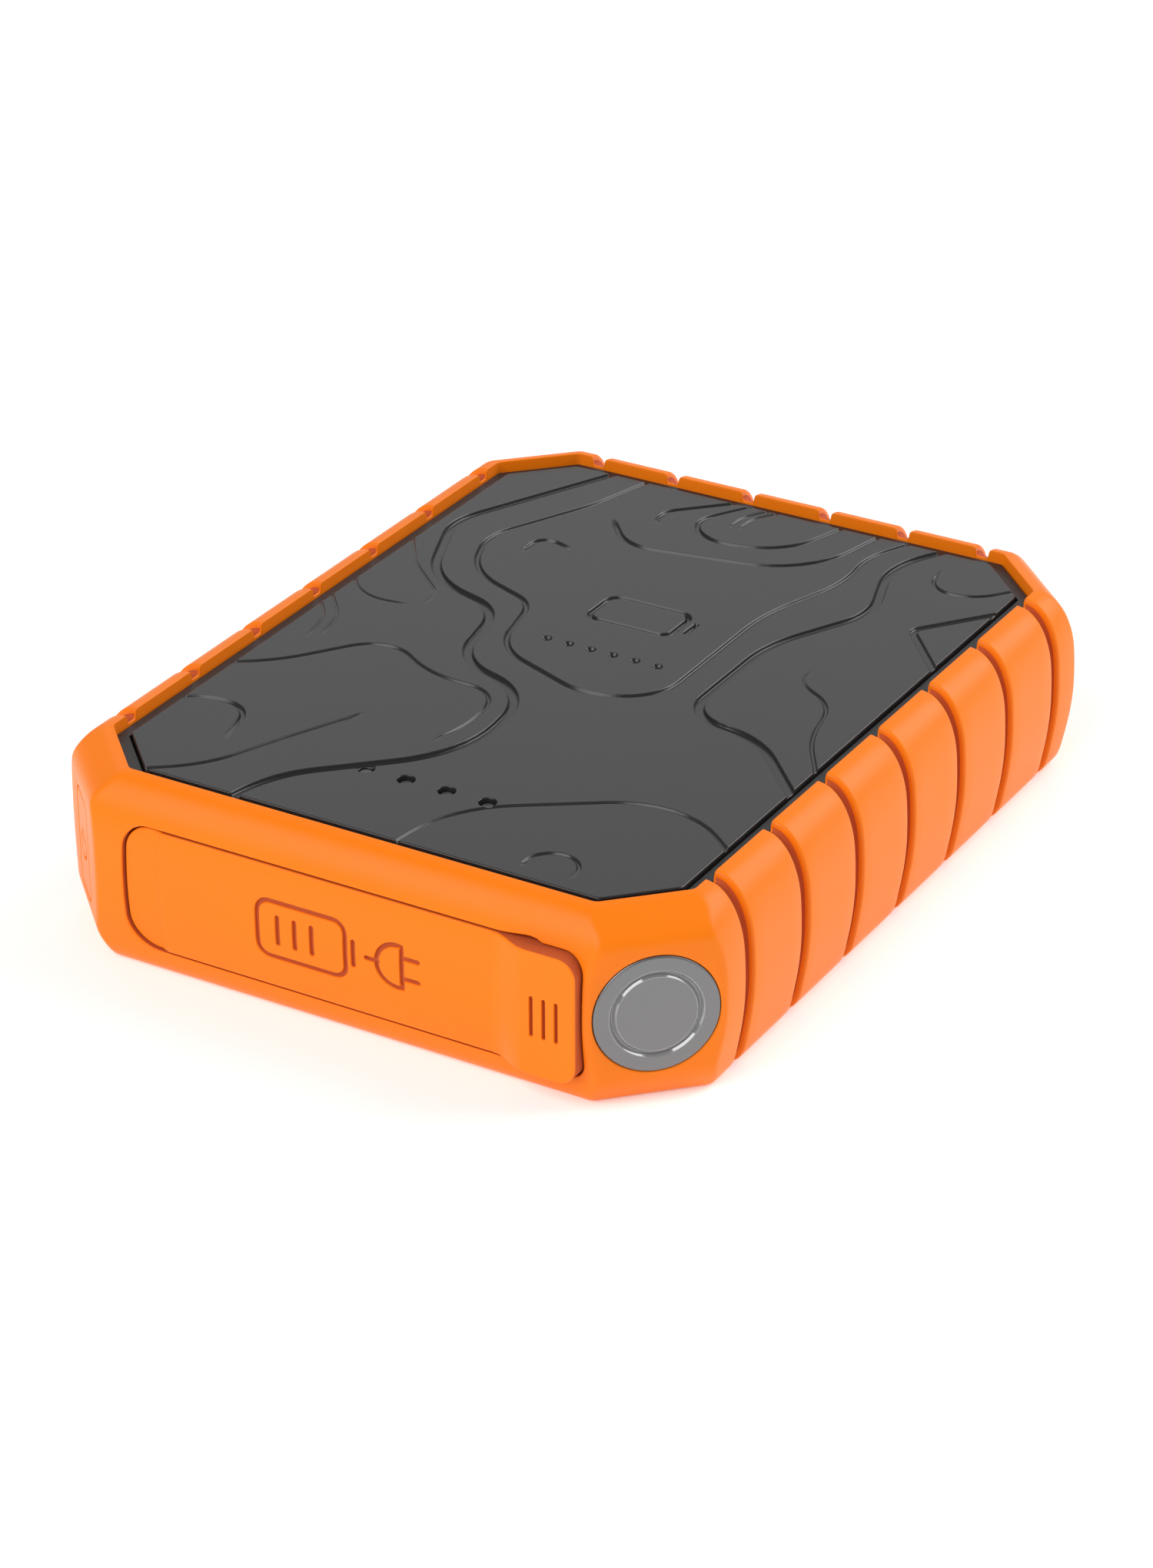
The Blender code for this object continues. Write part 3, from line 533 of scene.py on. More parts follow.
GUIDE = grain(material("light_guide", (0.06, 0.06, 0.062), 0.25, Transmission_Weight=0.1,
                       IOR=1.49), 900, 0.05)
EMITTER = grain(material("phosphor", (0.9, 0.8, 0.25), 0.4), 3000, 0.2)
WHITE_BOARD = grain(material("white_board", (0.8, 0.8, 0.78), 0.45), 1200, 0.1)
GREEN_BOARD = grain(material("green_board", (0.012, 0.12, 0.045), 0.35, Coat_Weight=0.4),
                    1400, 0.15, shift=0.2)
BLUE_BOARD = grain(material("blue_board", (0.01, 0.05, 0.16), 0.35, Coat_Weight=0.4),
                   1400, 0.15, shift=0.2)
STEEL = grain(material("port_steel", (0.62, 0.62, 0.63), 0.26, 1.0), 2200, 0.1, spread=0.08)
SCREW = grain(material("screw_steel", (0.4, 0.4, 0.42), 0.32, 1.0), 2600, 0.15, spread=0.1)
NICKEL = grain(material("tab_nickel", (0.66, 0.63, 0.56), 0.3, 1.0), 2600, 0.15, spread=0.1)
GOLD = grain(material("contact_gold", (0.95, 0.66, 0.25), 0.25, 1.0), 3000, 0.08)
PORT_WHITE = grain(material("port_plastic", (0.8, 0.81, 0.83), 0.4), 1800, 0.1)
DARK = grain(material("dark_plastic", (0.02, 0.02, 0.021), 0.45), 2200, 0.15)
FERRITE = grain(material("ferrite", (0.06, 0.06, 0.065), 0.7), 2600, 0.4, shift=0.2)
CAN = grain(material("capacitor_can", (0.75, 0.75, 0.77), 0.28, 0.95), 1500, 0.1)
CHIP = grain(material("light_chip", (0.85, 0.84, 0.75), 0.35), 2200, 0.1)
POUCH = grain(material("cell_pouch", (0.5, 0.51, 0.53), 0.34, 0.75), 300, 0.5, 0.05, 0.1)
FOAM = grain(material("cell_foam", (0.05, 0.05, 0.05), 0.95), 1500, 0.9, 0.1)
RED = grain(material("wire_red", (0.5, 0.012, 0.01), 0.4), 1800, 0.1)
BLACK = grain(material("wire_black", (0.015, 0.015, 0.015), 0.4), 1800, 0.1)


def dress(obj, look, body="housing", stands_for=(), deep=None):
    """Give a piece its material, the body it moves with and the slot it stands for."""
    kept = [face.material_index for face in obj.data.polygons]
    obj.data.materials.clear()
    obj.data.materials.append(look)
    # the second material, where given, is darker rubber that paints shade on the marked faces
    if deep:
        obj.data.materials.append(deep)
    for face, index in zip(obj.data.polygons, kept):
        face.material_index = index if deep else 0
    if body:
        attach(obj, body)
    if stands_for:
        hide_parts(*stands_for)
    return obj


# -------------------- the sleeve

def face_offset(z):
    """Offset of the sleeve's outer face at one height, along a smooth line."""
    return float(np.interp(-z, -FACE_LINE[:, 1], FACE_LINE[:, 0]))


FACE_LINE = spline(SLEEVE_FACE, 0.35)
CORNER_ROUND = 1.5


def side_normal(index):
    angle = math.radians(45 * index)
    return Vector((math.cos(angle), math.sin(angle)))


def side_distance(index, offset):
    """Distance from the middle to one side of the outline, moved out by offset."""
    plain = (RIM_X, (RIM_X + RIM_Y - RIM_CHAMFER) / math.sqrt(2), RIM_Y)
    return plain[0 if index % 4 == 0 else 2 if index % 4 == 2 else 1] + offset


def side_middle(index):
    """How far a side's middle is along it from the point nearest the origin."""
    return 0.0 if index % 2 == 0 else (RIM_Y - RIM_X) / math.sqrt(2) * (1 if index % 4 == 1 else -1)


def side_offset(index, offset, z):
    """The front corner faces are flat around the torch and the key."""
    if index in (5, 7) and offset > 3.0:
        rim = blend(z, *CORNER_RISE) * blend(z, *CORNER_FALL)
        return float(offset + (CORNER_FACE - offset) * rim)
    return offset


def corner_point(index, offset, z):
    """Where the offset outlines of one side and the next cross."""
    a, b = side_normal(index), side_normal(index + 1)
    da = side_distance(index, side_offset(index, offset, z))
    db = side_distance(index + 1, side_offset(index + 1, offset, z))
    turn = a.x * b.y - a.y * b.x
    return Vector(((da * b.y - db * a.y) / turn, (db * a.x - da * b.x) / turn))


GROOVE_REACH = 1.55            # half width of a groove with its round shoulders
GROOVE_SHADE_HALF = 0.98             # half width of its bed and walls, given darker rubber as painted shade
FRONT_REACH, CORNER_REACH = 33.0, 4.8    # how far plain sides carry stations from their middles


def groove_section():
    """Half of a groove across: (distance from its middle, depth)."""
    bed = [(0.0, GROOVE_DEPTH), (0.6, GROOVE_DEPTH)]
    wall = [(0.8, 1.37), (0.9, 1.27), (0.95, 1.1), (0.99, 0.75), (1.03, 0.45)]
    return bed + wall + [(1.1, 0.25), (1.2, 0.11), (1.35, 0.03), (GROOVE_REACH, 0.0)]


def groove_middles(side):
    count, pitch = (BACK_GROOVES, BACK_PITCH) if side == 2 else (SIDE_GROOVES, SIDE_PITCH)
    return [(i - (count - 1) / 2) * pitch for i in range(count)]


def sleeve_stations():
    """Stations round the sleeve: (side, distance along it, groove depth) or a corner share."""
    stations = []
    half_section = groove_section()
    full = [(-a, d) for a, d in reversed(half_section[1:])] + half_section
    for side in range(8):
        if side in (0, 2, 4):
            middles = groove_middles(side)
        else:
            reach, count = (FRONT_REACH, 24) if side == 6 else (CORNER_REACH, 6)
            middles = []
            middle = side_middle(side)
            stations += [(side, middle + a, 0.0) for a in np.linspace(-reach, reach, count)]
        for i, middle in enumerate(middles):
            stations += [(side, middle + a, d) for a, d in full]
            if i + 1 < len(middles):
                after = middles[i + 1]
                spread = np.linspace(middle + GROOVE_REACH, after - GROOVE_REACH, 6)[1:-1]
                stations += [(side, a, 0.0) for a in spread]
        stations += [(side, share, None) for share in np.linspace(0, 1, 7)]
    return stations


def sleeve_section(depth):
    """Section of the sleeve where a groove has that depth: (offset, z) from inside out."""
    line = spline(SLEEVE_FACE, 0.45)[:, :2]
    along = np.gradient(line, axis=0)
    along /= np.linalg.norm(along, axis=1, keepdims=True)
    out, up = -along[:, 1], along[:, 0]
    level = smoothstep(line[:, 0] / 1.6) if depth else np.ones(len(line))
    level = np.where(line[:, 1] < 20, 1.0, level)
    out = out * level
    up = np.where(line[:, 1] < 2.5, up * smoothstep(line[:, 1] / 2.5), up)
    size = np.maximum(np.hypot(out, up), 1e-6)
    moved = line - depth * np.stack([out / size, up / size], axis=1)
    moved = moved[1:-1]
    top = HEIGHT - depth
    base_x, base_z = line[-1] - (depth, 0)
    rim = [(0.0, HEIGHT - LIP), (0.0, top - 0.3), (0.05, top - 0.14), (0.15, top - 0.06)]
    rim += [(0.3, top - 0.07)]
    start = [tuple(p) for p in moved]
    foot = [(base_x - 0.12, 0.09), (base_x - 0.3, 0.0), (0.0, 0.0), (0.0, LIP)]
    inner = [(SLEEVE_INSIDE, LIP), (SLEEVE_INSIDE, HEIGHT - LIP)]
    return rim + start + foot + inner


def make_sleeve():
    sections = {}
    rows = []
    for side, place, depth in sleeve_stations():
        key = 0.0 if depth is None else depth
        if key not in sections:
            sections[key] = sleeve_section(key)
        row = []
        for offset, z in sections[key]:
            if depth is None:
                corner = corner_point(side, offset, z)
                a, b = side_normal(side), side_normal(side + 1)
                inwards = (a + b).normalized()
                centre = corner - inwards * (CORNER_ROUND / math.cos(math.radians(22.5)))
                angle = math.radians(45 * side + 45 * place)
                point = centre + CORNER_ROUND * Vector((math.cos(angle), math.sin(angle)))
            else:
                normal = side_normal(side)
                along = Vector((-normal.y, normal.x))
                reach = side_distance(side, side_offset(side, offset, z))
                point = normal * reach + along * place
            row.append((point.x, point.y, z))
        rows.append(row)
    return skin("sleeve", rows, around=True, along=True)


def follow_front(outline, lift):
    """The outline on the front face, at a height over it."""
    return [(x, -(RIM_Y + face_offset(z) + lift), z) for x, z in outline]


def edge_round(radius, count=5):
    """(growth, height) of a rounded edge that opens outwards, from the top in."""
    angles = [math.radians(a) for a in np.linspace(22, 90, count)]
    return [(radius * (1 - math.sin(a)), -radius * (1 - math.cos(a))) for a in angles]


def between(start, end, count):
    """Points that divide a straight run, without its ends."""
    shares = [(i + 1) / (count + 1) for i in range(count)]
    return [(start[0] + (end[0] - start[0]) * t, start[1] + (end[1] - start[1]) * t)
            for t in shares]


def finger_notch(high, count=9):
    """Top edge of the seat over the pull tab: it lifts fast at the right and fades to the left."""
    start, end = NOTCH_ENDS
    shares = [i / (count - 1) for i in range(count)]
    lifts = [NOTCH_LIFT * math.sin(math.pi * math.sqrt(t)) ** 2 for t in shares]
    return [(start + (end - start) * t, high + lift) for t, lift in zip(shares, lifts)]


def seat_outline(grow):
    """Outline of the cover's seat: its low left corner is the roundest."""
    g = GAP * 0.85 + grow
    left, right = COVER_LEFT - g, COVER_RIGHT + g
    low, high = COVER_LOW - g, COVER_HIGH + g
    r, big, small = TOP_CORNER + g, LOW_CORNER + g, TAB_CORNER + g
    points = arc((right - small, high - small), small, 0, 90, 9)
    points += finger_notch(high)
    points += between((NOTCH_ENDS[1], high), (left + r, high), 36)
    points += arc((left + r, high - r), r, 90, 180, 11)
    points += between((left, high - r), (left, low + big), 7)
    points += arc((left + big, low + big), big, 180, 270, 13)
    points += between((left + big, low), (right - small, low), 44)
    points += arc((right - small, low + small), small, 270, 360, 9)
    return points + between((right, low + small), (right, high - small), 9)


OPENING_EDGE = 0.2             # radius of the rounded edge round each opening
MOUTH = (0.3, 0.12)            # growth and height of a cutter just beyond that edge
CUTTER_TOP = 9.0
TORCH_CLEAR, KEY_CLEAR = 0.06, 0.22


def cut_sleeve(sleeve):
    """Cut the cover's seat, the port bay's mouth and the bores of the torch and the key."""
    rounds = edge_round(OPENING_EDGE)
    grow, drop = rounds[0]
    rings = [(grow + 1.4, drop + 3.0), (grow + MOUTH[0], drop + MOUTH[1])] + rounds
    rows = [follow_front(seat_outline(g), t) for g, t in rings]
    rows.append([(x, COVER_BACK + GAP, z) for x, z in seat_outline(0.0)])
    boolean(sleeve, skin("seat_cutter", rows, around=True))
    left, right, low, high = BAY
    middle = ((left + right) / 2, (low + high) / 2)
    outline = rounded(right - left, high - low, BAY_CORNER, 9, middle)
    rows = [[(x, -y, z) for x, z in outline] for y in (63.0, 59.0)]
    boolean(sleeve, skin("bay_cutter", rows, around=True))
    edge = [(g, CORNER_FACE + t) for g, t in reversed(rounds)]
    edge.append((grow + MOUTH[0], CORNER_FACE + drop + MOUTH[1]))
    hole = TORCH_RING + TORCH_CLEAR
    profile = [(TORCH_BORE, 0.5), (TORCH_BORE, TORCH_SEAT), (hole, TORCH_SEAT)]
    profile += [(hole + g, t) for g, t in edge] + [(hole + 2.0, CUTTER_TOP)]
    boolean(sleeve, turned("torch_cutter", corner_frame(1), profile))
    place = corner_frame(-1)
    rows = []
    for g, t in [(0.0, 1.0)] + edge + [(grow + 1.4, CUTTER_TOP)]:
        g += KEY_CLEAR
        outline = rounded(KEY_WIDTH + 2 * g, KEY_HEIGHT + 2 * g, KEY_CORNER + g)
        rows.append([tuple(place @ Vector((x, y, t))) for x, y in outline])
    boolean(sleeve, skin("key_cutter", rows, around=True))
    soften(sleeve, 32)
    return sleeve


def dense(outline, step=1.5):
    """The outline with its long straight runs divided, so that it follows a curved face."""
    return [tuple(p) for p in straight(outline, step, closed=True)]


def is_deep(x, y, z):
    """Whether a place on the sleeve lies in a groove, the cover's seat or a bore."""
    normals = [side_normal(i) for i in range(8)]
    offset, side = max((n.x * x + n.y * y - side_distance(i, 0.0), i)
                       for i, n in enumerate(normals))
    if offset < 0.35 or z < 0.5:
        return False
    if side in (0, 2, 4):
        along = normals[side].x * y - normals[side].y * x
        return min(abs(along - m) for m in groove_middles(side)) < GROOVE_SHADE_HALF
    return offset > 1.5 and side_offset(side, face_offset(z), z) - offset > 0.5


def mark_shaded_faces(sleeve):
    """Second material, darker rubber that paints shade, for the faces in the grooves, the cover's seat
    and the bores.
    """
    for face in sleeve.data.polygons:
        face.material_index = int(is_deep(*(c / MM for c in face.center)))


sleeve = cut_sleeve(make_sleeve())
mark_shaded_faces(sleeve)
dress(sleeve, RUBBER, stands_for=["rubber_bumper"], deep=SHADED_RUBBER)


# -------------------- top panel

def octagon(offset):
    half_x, half_y = RIM_X + offset, RIM_Y + offset
    leg = RIM_CHAMFER + offset * (1 - math.tan(math.radians(22.5)))
    quarter = [(half_x, half_y - leg), (half_x - leg, half_y)]
    corners = quarter + [(-x, y) for x, y in reversed(quarter)]
    return corners + [(-x, -y) for x, y in quarter] + [(x, -y) for x, y in reversed(quarter)]


def soft_octagon(offset, radius, step=1.5):
    """The eight-sided outline with round corners."""
    corners = [np.array(p) for p in octagon(offset)]
    points = []
    for i, corner in enumerate(corners):
        before, after = corners[i - 1], corners[(i + 1) % 8]
        a = (before - corner) / np.linalg.norm(before - corner)
        b = (after - corner) / np.linalg.norm(after - corner)
        reach = radius * math.tan(math.radians(22.5))
        start, end = corner + a * reach, corner + b * reach
        for t in np.linspace(0, 1, 5):
            points.append((1 - t) ** 2 * start + 2 * t * (1 - t) * corner + t * t * end)
    return straight(points, step, closed=True)


WIDE, MEDIUM, NARROW, THIN, FAINT = 1.6, 1.3, 1.0, 0.8, 0.7
CARVED = {WIDE: 0.52, MEDIUM: 0.4, NARROW: 0.4, THIN: 0.32, FAINT: 0.16}   # depth by width
RELIEF_WALL = 0.28

# Contour lines pressed into the panel: width, how much of each end fades out, and the line's
# corners. An inner corner has a radius; lines that run past the panel's edge are trimmed there.
RELIEF = {
    "left_ridge": (WIDE, (0, 0), [(-26, 60), (-40, 30, 10), (-33, 12, 19), (-19, 8, 8),
                                  (-16, -8, 10), (-2, -12, 11), (0, -31, 26), (-19, -49, 22),
                                  (-21, -61)]),
    "middle_ridge": (NARROW, (0, 0), [(-21, 60), (-25, 45, 32), (-33, 28, 10), (-29, 17, 16),
                                      (-16, 12, 6), (-13, -2, 10), (5, -9, 19), (14, -4, 13),
                                      (14, 25, 32), (19, 40, 26), (18, 49, 13), (23, 60)]),
    "right_ridge": (WIDE, (0, 0), [(29, 60), (22, 48, 13), (27, 33, 11), (19, 17, 22),
                                   (19, -7, 8), (31, -8, 19), (46, -24)]),
    "back_bowl": (NARROW, (0.04, 0), [(-20, 42), (-14, 35, 16), (13, 40, 22), (17, 59)]),
    "back_loop": (NARROW, (0, 0), [(-4, 57), (-10, 47, 6), (-4, 42, 10), (7, 45, 13), (11, 58)]),
    "back_hook": (NARROW, (0.15, 0), [(-14, 44), (-15, 48, 5), (-7, 56)]),
    "back_stroke": (THIN, (0.25, 0), [(-4, 48), (-4, 52, 5), (-1, 57)]),
    "back_stroke_twin": (THIN, (0.25, 0), [(-2.5, 48), (-2.5, 52, 5), (0.5, 57)]),
    "left_hook": (NARROW, (0.2, 0.3), [(-26, 26), (-26, 32, 6), (-20, 30)]),
    "left_slope": (FAINT, (0, 0.3), [(-44, 25), (-37, 15, 16), (-29, 8, 5), (-29, 3)]),
    "left_dip": (FAINT, (0, 0.3), [(-44, 9), (-38, 2, 10), (-30, 3)]),
    "left_bend": (FAINT, (0, 0.3), [(-44, 3), (-37, -5, 10), (-36, -12)]),
    "left_bend_twin": (FAINT, (0, 0.3), [(-45, 1), (-38.5, -6, 10), (-37.5, -13)]),
    "front_wave": (THIN, (0, 0.12), [(-46, -27), (-37, -21, 24), (-27, -7, 10), (-17, -14, 19),
                                     (-6, -14, 8), (-4, -22, 19), (-6, -31)]),
    "corner_hook": (NARROW, (0, 0.35), [(-45, -38), (-38, -34, 10), (-32, -35, 6), (-30, -44)]),
    "corner_slope": (THIN, (0, 0.1), [(-40, -60), (-28, -51, 19), (-23, -39, 32), (-18, -28)]),
    "front_hill": (THIN, (0, 0), [(4, -61), (6, -45, 22), (31, -28, 19), (47, -41)]),
    "right_bowl": (THIN, (0.25, 0), [(29, 51), (30, 44, 8), (37, 44, 10), (43, 52)]),
    "right_thread": (THIN, (0.25, 0), [(28, 14), (28, 9, 6), (35, 5, 8), (37, -5, 22), (44, -16)]),
    "right_peak": (MEDIUM, (0, 0), [(48, 49), (34, 31, 1.5), (46, 17)]),
}
FRONT_RING = ((25.0, -52.0), 3.6)

GAUGE_DOTS, GAUGE_START, GAUGE_PITCH, GAUGE_Y, GAUGE_RADIUS = 6, -8.4, 3.5, 3.5, 0.8

# A plain battery outline, pressed into the middle of the panel.
BATTERY_MIDDLE = (-0.8, 16.0)
BATTERY_WIDTH, BATTERY_HEIGHT, BATTERY_CORNER = 13.0, 7.6, 1.8
BATTERY_END = 2.8                # length of the stroke for its contact


def unit(vector):
    return vector / np.linalg.norm(vector)


def fillet(before, corner, after, radius, steps=9):
    """The arc that rounds a corner, no longer than half of either run."""
    back, on = before - corner, after - corner
    half = math.acos(float(np.clip(unit(back) @ unit(on), -1, 1))) / 2
    reach = min(radius / math.tan(half), np.linalg.norm(back) / 2, np.linalg.norm(on) / 2)
    radius = reach * math.tan(half)
    centre = corner + unit(unit(back) + unit(on)) * radius / math.sin(half)
    start, end = corner + unit(back) * reach - centre, corner + unit(on) * reach - centre
    first = math.degrees(math.atan2(start[1], start[0]))
    turn = (math.degrees(math.atan2(end[1], end[0])) - first + 180) % 360 - 180
    return arc(centre, radius, first, first + turn, steps)


def route(corners, step=0.7):
    """Straight runs joined by fillets: each inner corner is (x, y, radius)."""
    places = [np.array(c[:2], float) for c in corners]
    points = [places[0]]
    for i in range(1, len(places) - 1):
        points += fillet(places[i - 1], places[i], places[i + 1], corners[i][2])
    return straight(points + [places[-1]], step)


def press_battery(plate):
    """The battery's body, and a short stroke beside it for its contact."""
    x, y = BATTERY_MIDDLE
    body = rounded(BATTERY_WIDTH, BATTERY_HEIGHT, BATTERY_CORNER, 6, BATTERY_MIDDLE)
    plate.channel(straight(body, 0.8, closed=True), 1.0, 0.5, closed=True, wall=0.3)
    x += BATTERY_WIDTH / 2 + 1.7
    ends = [(x, y - BATTERY_END / 2), (x, y + BATTERY_END / 2)]
    plate.channel(straight(ends, 0.7), 1.0, 0.5, wall=0.3)


def make_top_panel():
    low, high = TOP_PANEL
    plate = Plate(soft_octagon(PANEL_EDGE, PANEL_CORNER), edge=PLATE_EDGE)
    for width, fade, corners in RELIEF.values():
        line = route(corners)
        line = line[inside(line, np.array(octagon(PANEL_EDGE + 1.2)))]
        plate.channel(line, width, CARVED[width], fade=fade, wall=RELIEF_WALL)
    middle, radius = FRONT_RING
    ring = straight(arc(middle, radius, 205, -25, 25), 0.7)
    plate.channel(ring, THIN, CARVED[THIN], fade=(0.12, 0.3), wall=RELIEF_WALL)
    press_battery(plate)
    for i in range(GAUGE_DOTS):
        x = GAUGE_START + GAUGE_PITCH * i
        plate.pocket(circle((x, GAUGE_Y), GAUGE_RADIUS, 24), 0.4, wall=0.3)
    for place in LIGHT_PLACES:
        plate.hole(place, LIGHT_HOLE)
    panel = plate.build("top_relief", lambda u, v, h: (u, v, high + h), lambda u, v: (u, v, low))
    return dress(panel, PANEL, stands_for=["top_panel"])


make_top_panel()


def make_bottom_panel():
    low, high = BOTTOM_PANEL
    plate = Plate(soft_octagon(PANEL_EDGE, PANEL_CORNER), edge=PLATE_EDGE)
    for inset, width in ((-6.0, 0.9), (-8.0, 0.6)):
        ring = soft_octagon(inset, 2.5)
        plate.channel(ring, width, 0.25, closed=True, wall=0.25)
    panel = plate.build("bottom_relief", lambda u, v, h: (u, v, low - h),
                        lambda u, v: (u, v, high))
    return dress(panel, PANEL, stands_for=["bottom_panel"])


make_bottom_panel()


# -------------------- port cover

def cover_front(x, z):
    """Offset of the cover's face: a sunken strap, then flush, then a flat raised tab."""
    face = face_offset(z)
    if x < -20:
        return float(face - STRAP_SINK * (1 - blend(x, *STRAP_FOLD)))
    return float(face + (TAB_FACE - face) * blend(x, *TAB_RAMP))


def cover_outline():
    """Outline of the cover, with its strap's end."""
    left, right = COVER_LEFT, COVER_RIGHT
    low, high = COVER_LOW, COVER_HIGH
    r, big, small = TOP_CORNER, LOW_CORNER, TAB_CORNER
    points = arc((right - small, high - small), small, 0, 90, 9)
    points += arc((left + r, high - r), r, 90, 180, 11)
    points += arc((left + big, low + big), big, 180, 270, 13)
    return points + arc((right - small, low + small), small, 270, 360, 9)


def battery_and_plug(plate):
    """A battery and a plug, drawn with one line weight."""
    mid = MIDDLE - 0.1
    strokes = [[(2.9, mid - 1.7), (2.9, mid + 1.7)], [(4.9, mid), (6.6, mid)],
               [(10.6, mid - 1.5), (12.6, mid - 1.5)], [(10.6, mid + 1.5), (12.6, mid + 1.5)]]
    strokes += [[(x, mid - 1.9), (x, mid + 1.9)] for x in (-8.6, -6.0, -3.4)]
    for stroke in strokes:
        plate.channel(straight(stroke, 0.7), 0.8, 0.5, wall=0.2)
    body = rounded(13.4, 8.2, 1.8, 6, (-5.0, mid))
    plug = [(10.2, mid + 3.1)] + arc((9.5, mid), 3.1, 90, 270, 13) + [(10.2, mid - 3.1)]
    for loop in (body, plug):
        plate.channel(straight(loop, 0.7, closed=True), 0.8, 0.5, closed=True, wall=0.2)


def make_cover():
    plate = Plate(dense(cover_outline(), 1.2), edge=PLATE_EDGE)
    battery_and_plug(plate)
    for x in GRIP_LINES:
        ends = [(x, MIDDLE - 3.2), (x, MIDDLE + 2.1)]
        plate.channel(straight(ends, 0.7), 0.6, 0.6, wall=0.16)
    for x in (*np.linspace(*STRAP_FOLD, 8), *np.linspace(*TAB_RAMP, 9)):
        plate.lines.append((straight([(x, COVER_LOW + 0.6), (x, COVER_HIGH - 0.6)], 0.9), False))
    plate.fill(1.6, 0.8)
    return plate.build("port_flap", lambda u, v, h: (u, -(RIM_Y + cover_front(u, v) + h), v),
                       lambda u, v: (u, COVER_BACK, v))


def make_cover_lip():
    """The soft frame behind the cover that seals the way to the ports."""
    left, right, low, high = BAY
    centre = ((left + right) / 2, (low + high) / 2)
    width, height = right - left - 0.8, high - low - 0.8
    rows = []
    section = [(0.0, -0.05), (0.0, -0.55), (0.12, -0.8), (0.0, -1.05), (-0.25, -1.15),
               (-0.9, -1.15), (-1.15, -1.0), (-1.2, -0.5), (-1.2, -0.05)]
    for grow, t in section:
        outline = rounded(width + 2 * grow, height + 2 * grow, 1.6 + grow * 0.5, 9, centre)
        rows.append([(x, COVER_BACK - t, z) for x, z in outline])
    return skin("cover_lip", rows, around=True, along=True)


port_flap = make_cover()
port_flap.data.materials.append(RUBBER)
# The second material, darker rubber, paints shade in the carved marks and on the flap's sides and back.
port_flap.data.materials.append(SHADED_RUBBER)
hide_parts("port_cover", "cover_hinge_strip")
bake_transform(port_flap)
dress(make_cover_lip(), RUBBER, "port_cover")


# -------------------- power key

def make_key():
    place = corner_frame(-1)
    plate = Plate(straight(rounded(KEY_WIDTH, KEY_HEIGHT, KEY_CORNER, 8), 0.9, closed=True),
                  edge=0.35)
    ring = arc((0, -0.2), 1.9, 130, 410, 21)
    plate.channel(straight(ring, 0.6), 0.62, 0.3, wall=0.2)
    plate.channel(straight([(0, 0.1), (0, 2.3)], 0.6), 0.62, 0.3, wall=0.2)

    def spot(u, v, t):
        return tuple(place @ Vector((u, v, t)))

    key = plate.build("power_key", lambda u, v, h: spot(u, v, CORNER_FACE + h),
                      lambda u, v: spot(u, v, 2.9))
    # Darker rubber paints shade in the carved power sign and on the key's sides and back.
    return dress(key, RUBBER, "power_key", ["power_button"], SHADED_RUBBER)


make_key()


# -------------------- torch

def make_torch():
    place = corner_frame(1)
    front = TORCH_FRONT
    lip, bore, glass = 6.24, 5.86, 5.19
    ring = [(6.3, 3.0), (6.3, 4.9), (TORCH_RING, 4.95), (TORCH_RING, front - 0.22),
            (TORCH_RING - 0.06, front - 0.1), (TORCH_RING - 0.18, front - 0.02),
            (TORCH_RING - 0.35, front), (lip, front), (lip, front - 0.7), (bore, front - 0.7),
            (bore, 4.2), (5.0, 4.2), (5.0, 3.0)]
    bezel = turned("torch_ring", place, ring, closed=True)
    dress(bezel, RING, stands_for=["torch_bezel"])
    disc = [(0.02, 4.55), (5.56, 4.55), (5.56, front - 0.66), (glass, front - 0.66)]
    disc += [(r, front - 0.01 + 0.06 * (1 - (r / glass) ** 2))
             for r in (glass, 4.2, 3.0, 2.0, 1.0, 0.02)]
    lens = turned("torch_window", place, disc)
    dress(lens, WINDOW, stands_for=["torch_lens"])
    groove = [(5.2, front - 0.03), (5.3, front - 0.05), (5.68, front - 0.5), (5.76, front - 0.5),
              (6.14, front - 0.05), (lip, front - 0.02), (lip, front - 0.12),
              (5.82, front - 0.62), (5.62, front - 0.62), (5.2, front - 0.12)]
    dress(turned("torch_rim", place, groove, closed=True), RIM)
    cup = [(4.7, -4.0), (4.7, 4.2), (4.45, 4.25), (4.3, 4.2), (4.2, 3.6), (3.9, 2.0),
           (3.4, 0.2), (2.8, -1.8), (2.2, -3.6), (1.6, -5.0), (6.0, -5.0), (6.0, -4.0)]
    reflector = turned("torch_cup", place, cup, closed=True)
    dress(reflector, CHROME, stands_for=["torch_reflector"])
    dome = [(1.45, -5.7), (1.45, -5.05), (1.2, -5.0), (1.05, -4.7), (0.75, -4.4), (0.4, -4.25),
            (0.02, -4.2)]
    emitter = turned("torch_emitter", place, dome, 48)
    dress(emitter, EMITTER, stands_for=["torch_led"])


make_torch()


# -------------------- the rest of the CAD's pieces

LOOKS = {
    "lower_housing": (HOUSING, 0.15), "upper_housing": (HOUSING, 0.12),
    "housing_seal": (SEAL, 0.1), "torch_board": (WHITE_BOARD, 0.1), "torch_seal": (SEAL, 0.1),
    "switch_plunger": (DARK, 0.15), "switch_body": (STEEL, 0.2), "button_board": (GREEN_BOARD, 0.08),
    "main_board": (GREEN_BOARD, 0.08), "usb_c_shell": (STEEL, 0.08),
    "usb_c_tongue": (DARK, 0.08), "power_inductor": (FERRITE, 0.3),
    "charge_controller": (DARK, 0.1), "light_guide": (GUIDE, 0.1),
    "lower_cell": (POUCH, 0.2), "upper_cell": (POUCH, 0.2), "lower_foam_pad": (FOAM, 0.15),
    "upper_foam_pad": (FOAM, 0.15), "cell_tape": (WHITE_BOARD, 0.1),
    "protection_board": (BLUE_BOARD, 0.08), "positive_lead": (RED, 0.0),
    "negative_lead": (BLACK, 0.0),
}
